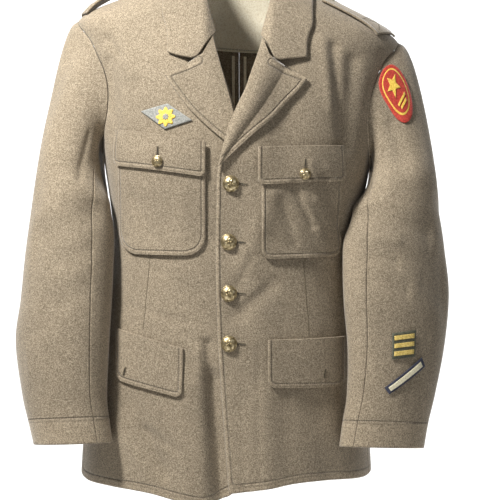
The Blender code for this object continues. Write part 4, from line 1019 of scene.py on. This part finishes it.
def on_strap(name, share, across, out):
    """Points above a strap: share runs from the sleeve to the point, across from front to back."""
    side = 1 if name == "right" else -1
    y = STRAP_MIDDLE[name] + across * STRAP_HALF_WIDTH * (1.0 - STRAP_NARROWS * share)
    start = STRAP_OUTER - STRAP_SEAM_BOW * y * y
    pointed = ease((share - STRAP_POINT_FROM) / (1 - STRAP_POINT_FROM))
    point = STRAP_POINT * np.abs(across) ** 1.6 * pointed
    x = (start + (STRAP_INNER - start) * share + point) * side
    return on_shoulder(x, y, strap_lift(name, share) + out)


for name in ("left", "right"):
    share = np.linspace(0, 1, STRAP_FINE[0])[:, None] + np.zeros(STRAP_FINE[1])
    across = np.linspace(-1, 1, STRAP_FINE[1]) + np.zeros(STRAP_FINE[0])[:, None]
    outer, inner = on_strap(name, share, across, STRAP_THICK), on_strap(name, share, across, 0.0)
    border = np.concatenate([outer[:, 0], outer[-1], outer[::-1, -1]])
    strap = shell("strap_cloth_" + name, outer, inner, WOOL, [(border, STRAP_STITCH)])
    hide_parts("strap_" + name)


# Yoke lining
# A cream cotton piece across the inside of the back's neck, with a bowed lower hem. Its cotton is painted brighter
# than its own cream, as painted light on the shaded inside of the neck, and the centre-back binding tape shares
# it.
YOKE_DEPTH = 0.098
YOKE_ANGLE = 50.0
YOKE_CLEAR = 0.0008
YOKE_THICK = 0.0012
YOKE_TOP = 0.03
YOKE_BOW = 0.25
YOKE_STITCH = 0.004
YOKE_FINE = (40, 90)
# Painted light: these cream stops are brighter than the cotton's own colour, to light the shaded inside of the
# neck.
COTTON_DARK = (0.68, 0.59, 0.42)
COTTON_MIDDLE = (0.92, 0.84, 0.64)
COTTON_LIGHT = (0.98, 0.94, 0.80)
COTTON = woven("cream_cotton_drill_brightened_as_painted_light", COTTON_DARK, COTTON_MIDDLE, COTTON_LIGHT, 0.0009, 0.85, 0.1)

share = np.linspace(YOKE_TOP, 1, YOKE_FINE[0])[:, None]
angle = np.linspace(180 - YOKE_ANGLE, 180 + YOKE_ANGLE, YOKE_FINE[1])
bow = 1 - YOKE_BOW * ((angle - 180) / YOKE_ANGLE) ** 2
down = YOKE_DEPTH * share * bow
angle = np.where(angle <= 180, angle, angle - 360) + np.zeros_like(down)
outer = body(angle, down, -WALL - YOKE_CLEAR - YOKE_THICK)
inner = body(angle, down, -WALL - YOKE_CLEAR)
yoke = shell("yoke_cotton", outer, inner, COTTON, [(outer[-1], YOKE_STITCH)])
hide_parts("yoke_lining")


# Buttons
# Domed brass buttons with a raised rim and a plain five-petalled flower, worn bright and dull in random patches.
FRONT_BUTTON_RADIUS = 0.01145
SMALL_BUTTON_RADIUS = 0.0083
BUTTON_SEAT = 0.0008
# Shares of a button's radius
DOME_RADIUS = 0.93
DOME_RISE = 0.56
DOME_SEAT = 0.06
RIM_RADIUS = 0.92
RIM_THICKNESS = 0.075
RIM_SEAT = 0.16
PETALS = 5
PETAL_RADIUS = 0.19
PETAL_FROM_MIDDLE = 0.36
EYE_RADIUS = 0.13
FRONT_BUTTONS = [(-0.0085, -0.3287), (-0.0115, -0.4088), (-0.0112, -0.4800), (-0.0112, -0.5491)]
CHEST_BUTTONS = {"left": (-0.1079, -0.2969), "right": (0.0920, -0.3145)}

brass = Shader("worn_brass", 0.34, metallic=1.0)
wear = brass.noise(260.0, 4.0)
BRASS_STOPS = [(0.32, (0.12, 0.09, 0.05)), (0.52, (0.46, 0.37, 0.21)), (0.72, (0.78, 0.68, 0.46))]
brass.paint(brass.colours(wear, BRASS_STOPS))
brass.tree.links.new(wear.between(0.35, 0.7, 0.55, 0.28).output, brass.surface.inputs["Roughness"])
brass.bump(brass.noise(900.0, 2.0), 0.0002, 0.5)
BRASS = brass.material


def joined(name, pieces, material):
    """Several new objects made one, with its place in its mesh."""
    bpy.ops.object.select_all(action="DESELECT")
    for piece in pieces:
        piece.select_set(True)
    bpy.context.view_layer.objects.active = pieces[0]
    bpy.ops.object.join()
    bpy.ops.object.transform_apply(location=True, rotation=True, scale=True)
    piece = bpy.context.view_layer.objects.active
    piece.name = name
    piece.data.materials.clear()
    piece.data.materials.append(material)
    piece.data.shade_smooth()
    return piece


def button(name, centre, normal, radius, node):
    """A domed button with a rim, five petals and an eye, facing along a normal."""
    rise = radius * DOME_RISE
    bpy.ops.mesh.primitive_uv_sphere_add(segments=40, ring_count=20, radius=radius * DOME_RADIUS)
    dome = bpy.context.object
    dome.scale.z = rise / (radius * DOME_RADIUS)
    for vertex in dome.data.vertices:
        vertex.co.z = max(vertex.co.z, 0.0)
    dome.location.z = radius * DOME_SEAT
    bpy.ops.mesh.primitive_torus_add(
        major_radius=radius * RIM_RADIUS,
        minor_radius=radius * RIM_THICKNESS,
        major_segments=40,
        minor_segments=10,
    )
    rim = bpy.context.object
    rim.location.z = radius * RIM_SEAT
    pieces = [dome, rim]
    for index in range(PETALS):
        turn = 2 * math.pi * index / PETALS
        bpy.ops.mesh.primitive_uv_sphere_add(segments=12, ring_count=8, radius=radius * PETAL_RADIUS)
        petal = bpy.context.object
        petal.scale = (1.25, 0.75, 0.45)
        away = radius * PETAL_FROM_MIDDLE
        petal.location = (away * math.cos(turn), away * math.sin(turn), rise * 0.97)
        petal.rotation_euler = (0, math.radians(20), turn)
        pieces.append(petal)
    bpy.ops.mesh.primitive_uv_sphere_add(segments=12, ring_count=8, radius=radius * EYE_RADIUS)
    bpy.context.object.location.z = rise * 1.08
    pieces.append(bpy.context.object)
    piece = joined(name, pieces, BRASS)
    piece.data.transform(normal.to_track_quat("Z", "Y").to_matrix().to_4x4())
    piece.data.transform(Matrix.Translation(centre))
    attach(piece, "root")
    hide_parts(node)
    return piece


def front_seat(x, z, lapped, out):
    """Where a button sits on a front, and which way it faces."""
    step = 0.006
    across = on_front(x + step, z, 0.0, lapped) - on_front(x - step, z, 0.0, lapped)
    upwards = on_front(x, z + step, 0.0, lapped) - on_front(x, z - step, 0.0, lapped)
    normal = Vector(np.cross(across, upwards)).normalized()
    return Vector(on_front(x, z, 0.0, lapped)) + normal * out, normal


for index, (x, z) in enumerate(FRONT_BUTTONS):
    seat, normal = front_seat(x, z, True, BUTTON_SEAT)
    button(f"front_brass_{index + 1}", seat, normal, FRONT_BUTTON_RADIUS, f"front_button_{index + 1}")
for name, side in (("left", -1), ("right", 1)):
    flap = dict(zip(POCKET_NAMES, CHEST_FLAPS[name]))
    seat, normal = front_seat(*CHEST_BUTTONS[name], side > 0, flap["lift"] + flap["thick"] + LAID)
    button("chest_brass_" + name, seat, normal, SMALL_BUTTON_RADIUS, "chest_button_" + name)
    x, y = side * (STRAP_INNER + STRAP_BUTTON_IN), STRAP_MIDDLE[name]
    share = (STRAP_OUTER - STRAP_BUTTON_IN - STRAP_INNER) / (STRAP_OUTER - STRAP_INNER)
    lift = strap_lift(name, share) + STRAP_THICK + STRAP_BUTTON_LIFT
    seat = Vector(on_shoulder(x, y, lift))
    normal = Vector(on_shoulder(x, y, 0.02) - on_shoulder(x, y, 0.0)).normalized()
    button("strap_brass_" + name, seat, normal, SMALL_BUTTON_RADIUS, "strap_button_" + name)


# Patches
# Sewn-on cloth patches with merrowed borders: a red oval with a yellow star at the shoulder, three gold bars
# and a cream stripe on the forearm, and a grey lozenge with a yellow rosette on the breast.
PATCH_LIFT = 0.0012
PATCH_THICK = 0.0012
MOTIF_THICK = 0.0008
FIELD_THICK = 0.0003
OVAL_POWER = 0.86
STAR_MIDDLE = (0, 0.006)
# Where a patch lies as seen from the front, its width and height, and its slant
SHOULDER_PATCH = (0.2290, -0.1850, 0.060, 0.080, 0)
BAR_PATCH = (0.2290, -0.5510, 0.035, 0.037, 4)
STRIPE_PATCH = (0.2310, -0.5960, 0.014, 0.062, -52)
LOZENGE = ((-0.1351, -0.2253), (-0.0967, -0.2162), (-0.0619, -0.2407), (-0.1002, -0.2525))
LOZENGE_MIDDLE = (-0.0990, -0.2350)


def embroidered(name, dark, light, pitch=0.0011):
    """Close satin stitch: fine bright and dark threads with a soft gloss."""
    cloth = Shader(name, 0.62, 0.15)
    threads = ((cloth.flat("X") + cloth.flat("Y") * 0.35) * (2 * math.pi / pitch)).math("SINE")
    share = cloth.noise(500.0, 3.0) + threads * 0.10
    cloth.paint(cloth.colours(share, [(0.32, dark), (0.66, light)]))
    cloth.bump(share, 0.0006, 0.8)
    return cloth.material


RED = embroidered("red_felt", (0.33, 0.020, 0.012), (0.60, 0.060, 0.035))
YELLOW = embroidered("yellow_thread", (0.60, 0.36, 0.03), (0.95, 0.68, 0.12))
GOLD = embroidered("gold_bars", (0.50, 0.34, 0.06), (0.86, 0.66, 0.22))
GREY = embroidered("grey_felt", (0.17, 0.175, 0.16), (0.36, 0.36, 0.33))
DARK = embroidered("dark_backing", (0.045, 0.050, 0.030), (0.12, 0.12, 0.08))
NAVY = embroidered("navy_border", (0.010, 0.012, 0.030), (0.050, 0.055, 0.090))
CREAM = embroidered("cream_braid", (0.60, 0.54, 0.36), (0.88, 0.82, 0.62))


def on_sleeve(step, row, out):
    """Points above the right sleeve at its steps and rings."""
    grid, normals = SLEEVE_GRIDS["right"]
    per_step, per_ring = SLEEVE_FINE
    total = ARMHOLE_STEPS * per_step
    across, down = np.asarray(step) * per_step, np.asarray(row) * per_ring
    j, i = np.floor(across).astype(int), np.clip(np.floor(down).astype(int), 0, len(grid) - 2)
    u, v = (across - j)[..., None], (down - i)[..., None]
    result = 0
    for source, scale in ((grid, 1.0), (normals, np.asarray(out)[..., None])):
        top = source[i, j % total] * (1 - u) + source[i, (j + 1) % total] * u
        low = source[i + 1, j % total] * (1 - u) + source[i + 1, (j + 1) % total] * u
        result = result + (top * (1 - v) + low * v) * scale
    return result


class SleevePlace:
    """Maps a patch's own flat coordinates to the sleeve: u to the right and v up, in metres, as seen."""

    def __init__(self, x, z, width, height, slant):
        steps, rows = np.meshgrid(np.arange(0, 7, 0.05), np.arange(0.5, 11, 0.05))
        points = on_sleeve(steps, rows, np.zeros_like(steps))
        nearest = np.hypot(points[..., 0] - x, points[..., 2] - z).argmin()
        self.step, self.row = steps.flat[nearest], rows.flat[nearest]
        zero, halves = np.zeros(2), np.array([-0.5, 0.5])
        across = on_sleeve(self.step + halves, np.full(2, self.row), zero)
        down = on_sleeve(np.full(2, self.step), self.row + halves, zero)
        self.step_size = np.linalg.norm(across[1] - across[0])
        self.row_size = np.linalg.norm(down[1] - down[0])
        self.slant = math.radians(slant)

    def __call__(self, u, v, out):
        right = u * math.cos(self.slant) - v * math.sin(self.slant)
        up = v * math.cos(self.slant) + u * math.sin(self.slant)
        return on_sleeve(self.step - right / self.step_size, self.row - up / self.row_size, out)


def on_chest(u, v, out):
    """Points above the left chest from flat coordinates round the lozenge's middle."""
    return on_front(LOZENGE_MIDDLE[0] + u, LOZENGE_MIDDLE[1] + v, out)


def applique(name, outline, place, lift, thick, material, rings=9, centre=(0, 0)):
    """A flat shape laid on a surface: rings of its outline drawn in to a centre, with a rounded edge."""
    outline = np.asarray(outline, float)
    shares = np.concatenate([[1.0, 1.0], np.linspace(0.985, 0, rings)])
    heights = np.concatenate([[0.0, 0.6], np.ones(rings)]) * thick
    flat = np.asarray(centre) + (outline - centre) * shares[:, None, None]
    over = place(flat[..., 0], flat[..., 1], lift + heights[:, None] + np.zeros(flat.shape[:2]))
    under = place(flat[..., 0], flat[..., 1], np.full(flat.shape[:2], lift))[2:]
    count = len(outline)
    top, low = over[:-1].reshape(-1, 3), under[:-1].reshape(-1, 3)
    points = np.concatenate([top, over[-1, :1], low, under[-1, :1]])
    top_middle, low_start, low_middle = len(top), len(top) + 1, len(points) - 1
    faces = []
    for j in range(count):
        k = (j + 1) % count
        for i in range(len(over) - 2):
            faces.append((i * count + j, i * count + k, (i + 1) * count + k, (i + 1) * count + j))
        last = (len(over) - 2) * count
        faces.append((last + j, last + k, top_middle))
        for i in range(len(under) - 2):
            at = low_start + i * count
            faces.append((at + j, at + count + j, at + count + k, at + k))
        last = low_start + (len(under) - 2) * count
        faces.append((last + j, low_middle, last + k))
        faces.append((j, low_start + j, low_start + k, k))
    mesh = bpy.data.meshes.new(name)
    mesh.from_pydata(points.tolist(), [], faces)
    work = bmesh.new()
    work.from_mesh(mesh)
    bmesh.ops.recalc_face_normals(work, faces=work.faces)
    work.to_mesh(mesh)
    work.free()
    mesh.shade_smooth()
    uv = np.concatenate([flat[:-1].reshape(-1, 2), flat[-1, :1], flat[2:-1].reshape(-1, 2), flat[-1, :1]])
    corners = np.empty(len(mesh.loops), np.int32)
    mesh.loops.foreach_get("vertex_index", corners)
    mesh.uv_layers.new(name="cloth").data.foreach_set("uv", uv[corners].astype(np.float32).ravel())
    part = bpy.data.objects.new(name, mesh)
    bpy.context.scene.collection.objects.link(part)
    part.data.materials.append(material)
    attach(part, "root")
    return part


def oval(width, height, count=96):
    turn = np.linspace(0, 2 * np.pi, count, endpoint=False)
    x = signed_power(np.cos(turn), OVAL_POWER) * width / 2
    y = signed_power(np.sin(turn), OVAL_POWER) * height / 2
    return np.stack([x, y], -1)


def star(radius, inner, points, per_side=4):
    turns = np.pi / 2 + np.arange(2 * points) * np.pi / points
    reach = np.where(np.arange(2 * points) % 2, inner, radius)
    return polygon(np.stack([np.cos(turns), np.sin(turns)], -1) * reach[:, None], per_side)


def polygon(corners, per_side=8):
    """An outline through corners, with points along each side."""
    corners = np.asarray(corners, float)
    share = np.arange(per_side)[:, None] / per_side
    sides = [start + (end - start) * share for start, end in zip(corners, np.roll(corners, -1, axis=0))]
    return np.concatenate(sides)


def box_outline(width, height, middle=(0.0, 0.0), per_side=8):
    half = np.array([[-1, -1], [1, -1], [1, 1], [-1, 1]]) * (width / 2, height / 2)
    return polygon(half + middle, per_side)


TOP = PATCH_LIFT + PATCH_THICK
shoulder = SleevePlace(*SHOULDER_PATCH)
width, height = SHOULDER_PATCH[2:4]
MOTIF_LIFT = TOP + 2 * FIELD_THICK
ground = applique("shoulder_patch_ground", oval(width, height), shoulder, PATCH_LIFT, PATCH_THICK, RED, 14)
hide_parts("patch_shoulder")
outline = oval(width * 0.80, height * 0.80)
inner_oval = applique("shoulder_patch_ring", outline, shoulder, TOP, FIELD_THICK, YELLOW, 12)
outline = oval(width * 0.72, height * 0.74)
field = applique("shoulder_patch_field", outline, shoulder, TOP + FIELD_THICK, FIELD_THICK, RED, 12)
outline = star(0.0165, 0.0072, 5) + STAR_MIDDLE
emblem = applique(
    "shoulder_patch_star", outline, shoulder, MOTIF_LIFT, MOTIF_THICK, YELLOW, centre=STAR_MIDDLE
)
for index in range(2):
    middle = (0, -0.0165 - 0.0055 * index)
    outline = box_outline(0.024 - 0.006 * index, 0.0032, middle)
    name = f"shoulder_patch_bar_{index}"
    applique(name, outline, shoulder, MOTIF_LIFT, MOTIF_THICK, YELLOW, 4, middle)

forearm = SleevePlace(*BAR_PATCH)
width, height = BAR_PATCH[2:4]
outline = box_outline(width, height)
bar_ground = applique("bar_patch_ground", outline, forearm, PATCH_LIFT, PATCH_THICK, DARK)
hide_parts("patch_bars")
for index in (-1, 0, 1):
    middle = (0.0, index * height * 0.30)
    outline = box_outline(width * 0.84, height * 0.17, middle)
    applique(f"gold_bar_{index + 2}", outline, forearm, TOP, MOTIF_THICK, GOLD, 5, middle)

cuff = SleevePlace(*STRIPE_PATCH)
width, height = STRIPE_PATCH[2:4]
outline = box_outline(width, height)
stripe_ground = applique("stripe_ground", outline, cuff, PATCH_LIFT, PATCH_THICK, NAVY)
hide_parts("patch_stripe")
outline = box_outline(width * 0.52, height * 0.86)
stripe = applique("stripe_braid", outline, cuff, TOP, MOTIF_THICK, CREAM, 5)

corners = np.array(LOZENGE) - LOZENGE_MIDDLE
lozenge = applique("lozenge_ground", polygon(corners, 14), on_chest, LAID, PATCH_THICK, GREY, 10)
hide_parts("patch_lozenge")
CHEST_TOP = LAID + PATCH_THICK
turn = np.linspace(0, 2 * np.pi, 96, endpoint=False)
petals = (0.0118 + 0.0022 * np.cos(turn * 8))[:, None] * np.stack([np.cos(turn), np.sin(turn)], -1)
rosette = applique("lozenge_rosette", petals, on_chest, CHEST_TOP, MOTIF_THICK, YELLOW)
eye = applique("lozenge_rosette_eye", petals * 0.34, on_chest, CHEST_TOP + MOTIF_THICK, 0.0004, GREY, 5)


# Thread work
# Everything sewn by hand or bar tack: the buttonholes, the darts' ridges, the boxed crosses on the straps and
# the eyelets of the collar. Thread is a little darker than the cloth; the buttonhole slits and the collar's
# eyelets are near-black painted shade of their openings.
THREAD = embroidered("olive_thread", (0.080, 0.062, 0.036), (0.200, 0.160, 0.100), 0.0006)
# Near-black painted shade for the openings of the buttonhole slits and the collar's eyelets.
PAINTED_HOLE_SHADE = embroidered("painted_hole_shade", (0.010, 0.008, 0.005), (0.040, 0.030, 0.020), 0.0006)


def thread(name, line, radius, material, closed=False):
    """A round thread along a line of points, as a mesh."""
    curve = bpy.data.curves.new(name, "CURVE")
    curve.dimensions = "3D"
    spline = curve.splines.new("POLY")
    spline.points.add(len(line) - 1)
    places = np.concatenate([line, np.ones((len(line), 1))], axis=1)
    spline.points.foreach_set("co", places.astype(np.float32).ravel())
    spline.use_cyclic_u = closed
    curve.bevel_depth = radius
    curve.bevel_resolution = 2
    curve.use_fill_caps = not closed
    part = bpy.data.objects.new(name, curve)
    bpy.context.scene.collection.objects.link(part)
    bpy.ops.object.select_all(action="DESELECT")
    part.select_set(True)
    bpy.context.view_layer.objects.active = part
    bpy.ops.object.convert(target="MESH")
    part.data.materials.clear()
    part.data.materials.append(material)
    part.data.shade_smooth()
    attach(part, "root")
    return part


def line_between(start, end, count=16):
    share = np.linspace(0, 1, count)[:, None]
    return np.array(start) + (np.array(end) - np.array(start)) * share


HOLE_HALF_WIDTH = 0.0012
HOLE_THREAD = 0.0007
HOLE_SLIT = 0.00075
HOLE_SLIT_SHARE = 0.92
SEWN_THREAD = 0.0005
EYELET_RADIUS = 0.0016
EYELET_THREAD = 0.0006
EYELET_SHARE = 0.74


def buttonhole(name, x, z, length, turn, out, lapped):
    """A worked buttonhole: a thread loop round a slit of near-black painted shade, seen at x and z and turned from
    level.
    """
    turn = math.radians(turn)
    around = np.linspace(0, 2 * np.pi, 36, endpoint=False)
    u = signed_power(np.cos(around), 0.5) * length / 2
    v = signed_power(np.sin(around), 0.8) * HOLE_HALF_WIDTH
    loop_x = x + u * math.cos(turn) - v * math.sin(turn)
    loop_z = z + u * math.sin(turn) + v * math.cos(turn)
    points = on_front(loop_x, loop_z, out + 0.0002, lapped)
    loop = thread(name + "_loop", points, HOLE_THREAD, THREAD, True)
    half = length / 2 * HOLE_SLIT_SHARE
    start = (x - half * math.cos(turn), z - half * math.sin(turn))
    end = (x + half * math.cos(turn), z + half * math.sin(turn))
    slit_x, slit_z = line_between(start, end).T
    points = on_front(slit_x, slit_z, out - 0.0001, lapped)
    slit = thread(name + "_slit", points, HOLE_SLIT, PAINTED_HOLE_SHADE)
    return [loop, slit]


HOLES = {"front": [], "lower_left": [], "lower_right": [], "flap_left": [], "flap_right": []}
for index, (x, z) in enumerate(FRONT_BUTTONS):
    HOLES["front"] += buttonhole(f"front_hole_{index + 1}", x + 0.0125, z - 0.0004, 0.020, -3, 0.0, True)
for name, side, x, z, turn in (("left", -1, -0.1567, -0.5915, 75), ("right", 1, 0.1206, -0.5935, 86)):
    flap = dict(zip(POCKET_NAMES, LOWER_FLAPS[name]))
    out = flap["lift"] + flap["thick"]
    HOLES["lower_" + name] = buttonhole("lower_hole_" + name, x, z, 0.013, turn, out, side > 0)
for name, side in (("left", -1), ("right", 1)):
    flap = dict(zip(POCKET_NAMES, CHEST_FLAPS[name]))
    x, z = CHEST_BUTTONS[name]
    out = flap["lift"] + flap["thick"]
    HOLES["flap_" + name] = buttonhole("chest_hole_" + name, x, z + 0.013, 0.015, 86, out, side > 0)

for name, side, start, end in (
    ("left", -1, (-0.1233, -0.4312), (-0.1325, -0.5312)),
    ("right", 1, (0.0922, -0.4354), (0.1000, -0.5400)),
):
    x, z = line_between(start, end, 30).T
    thread("dart_" + name, on_front(x, z, -0.0002, side > 0), HOLE_THREAD, THREAD)

# Each line's ends: share along the strap from the sleeve, and place across it
CROSS_LINES = (
    ((0.05, -0.72), (0.30, 0.72)),
    ((0.05, 0.72), (0.30, -0.72)),
    ((0.30, -0.74), (0.30, 0.74)),
)
for name in ("left", "right"):
    lines = []
    for start, end in CROSS_LINES:
        share, across = line_between(start, end, 20).T
        label = f"strap_cross_{name}_{len(lines) + 1}"
        lines.append(thread(label, on_strap(name, share, across, STRAP_THICK), SEWN_THREAD, THREAD))

for name, side, row in (("left", -1, 8), ("right", 1, -9)):
    column = int(COLLAR_GRID.shape[1] * EYELET_SHARE)
    middle = COLLAR_GRID[row, column]
    along_it = unit(COLLAR_GRID[row + 2, column] - COLLAR_GRID[row - 2, column])
    beside = unit(COLLAR_GRID[row, column + 2] - COLLAR_GRID[row, column - 2])
    turn = np.linspace(0, 2 * np.pi, 18, endpoint=False)[:, None]
    ring = middle + (along_it * np.cos(turn) + beside * np.sin(turn)) * EYELET_RADIUS
    # The eyelet is a near-black ring of painted shade for its hole.
    thread("collar_eyelet_" + name, ring, EYELET_THREAD, PAINTED_HOLE_SHADE, True)


# Centre-back seam
# The seam allowances pressed open inside the back and bound with cream tape, which shows through the neck.
TAPE_FROM = 0.104
TAPE_TO = 0.735
TAPE_CLEAR = 0.0006
TAPE_THICK = 0.0012
TAPE_OVERLAP = 0.0012
TAPE_WIDTH = 0.0046
BINDING_LIFT = 0.0014
ALLOWANCE_FROM = 0.0001
ALLOWANCE_WIDTH = 0.0085

TAPE_FROM_SEAM = ALLOWANCE_WIDTH - TAPE_OVERLAP

for name, side in (("left", -1), ("right", 1)):
    levels = np.linspace(TAPE_FROM, TAPE_TO, 120)[:, None]
    for kind, near, far, lift, material in (
        ("allowance", ALLOWANCE_FROM, ALLOWANCE_WIDTH, WALL + TAPE_CLEAR, WOOL),
        ("binding", TAPE_FROM_SEAM, TAPE_FROM_SEAM + TAPE_WIDTH, WALL + TAPE_CLEAR + BINDING_LIFT, COTTON),
    ):
        x = np.linspace(near, far, 7) * side + BODY("shift", levels)
        angle = 180 - angle_of(x, levels)
        angle = np.where(angle > 180, angle - 360, angle)
        outer, inner = body(angle, levels, -lift - TAPE_THICK), body(angle, levels, -lift)
        shell(f"back_seam_{kind}_{name}", outer, inner, material)


for name in ("left", "right"):
    on_front_cloth, on_side_cloth = ["front_cloth_" + name], ["side_cloth_" + name]
    HOLES["flap_" + name]
    HOLES["lower_" + name]
    bpy.data.objects["lapel_cloth_" + name]


# Studio
# A white sweep, a large soft key light from the upper left, a weaker fill and an even sky, as in the photograph.
FLOOR_LEVEL = -1.25
SWEEP_BACK = 2.2
SWEEP_FRONT = -3.0
SWEEP_HALF_WIDTH = 3.5
SWEEP_RADIUS = 0.9
SWEEP_TOP = 2.2
CAMERA_PLACE = (0.0177, -1.49, -0.42)
FOCAL_PIXELS = 978
PICTURE_PIXELS = 500
SENSOR = 36.0
SKY_STRENGTH = 0.13

profile = [(SWEEP_FRONT, FLOOR_LEVEL)]
for turn in np.linspace(0, np.pi / 2, 16):
    y = SWEEP_BACK - SWEEP_RADIUS + SWEEP_RADIUS * math.sin(turn)
    z = FLOOR_LEVEL + SWEEP_RADIUS - SWEEP_RADIUS * math.cos(turn)
    profile.append((y, z))
profile.append((SWEEP_BACK, SWEEP_TOP))
points = [(x, y, z) for y, z in profile for x in (-SWEEP_HALF_WIDTH, SWEEP_HALF_WIDTH)]
faces = [(2 * i, 2 * i + 1, 2 * i + 3, 2 * i + 2) for i in range(len(profile) - 1)]
sweep_mesh = bpy.data.meshes.new("studio_sweep")
sweep_mesh.from_pydata(points, [], faces)
sweep_mesh.shade_smooth()
sweep = bpy.data.objects.new("studio_sweep", sweep_mesh)
bpy.context.scene.collection.objects.link(sweep)
paper = Shader("white_paper", 0.95)
paper.paint(paper.colours(paper.noise(6.0, 2.0), [(0.3, (0.90, 0.90, 0.90)), (0.7, (0.93, 0.93, 0.93))]))
sweep.data.materials.append(paper.material)


def lamp(name, place, aim, size, power, colour=(1.0, 1.0, 1.0)):
    data = bpy.data.lights.new(name, "AREA")
    data.shape = "DISK"
    data.size = size
    data.energy = power
    data.color = colour
    light = bpy.data.objects.new(name, data)
    light.location = place
    light.rotation_euler = (Vector(aim) - Vector(place)).to_track_quat("-Z", "Y").to_euler()
    bpy.context.scene.collection.objects.link(light)
    return light


lamp("key", (-0.80, -0.80, 0.80), (-0.05, 0.0, -0.25), 0.30, 50.0, (1.0, 0.985, 0.96))
lamp("fill", (1.4, -2.0, 0.4), (0.0, 0.0, -0.30), 1.2, 5.0, (0.97, 0.98, 1.0))
lamp("backdrop_left", (-1.6, 1.2, 0.9), (0.0, 2.4, -0.3), 1.2, 36.0)
lamp("backdrop_right", (1.6, 1.2, 0.9), (0.0, 2.4, -0.3), 1.2, 36.0)

world = bpy.data.worlds.new("even_sky")
world.use_nodes = True
world.node_tree.nodes["Background"].inputs["Color"].default_value = (1.0, 1.0, 1.0, 1.0)
world.node_tree.nodes["Background"].inputs["Strength"].default_value = SKY_STRENGTH
scene = bpy.context.scene
scene.world = world

camera = bpy.data.objects.new("camera", bpy.data.cameras.new("camera"))
camera.data.sensor_width = SENSOR
camera.data.lens = FOCAL_PIXELS / PICTURE_PIXELS * SENSOR
camera.location = CAMERA_PLACE
camera.rotation_euler = (math.radians(90), 0, 0)
scene.collection.objects.link(camera)
scene.camera = camera
scene.render.engine = "CYCLES"
scene.render.resolution_x = scene.render.resolution_y = PICTURE_PIXELS
scene.view_settings.view_transform = "Standard"

bpy.context.view_layer.update()
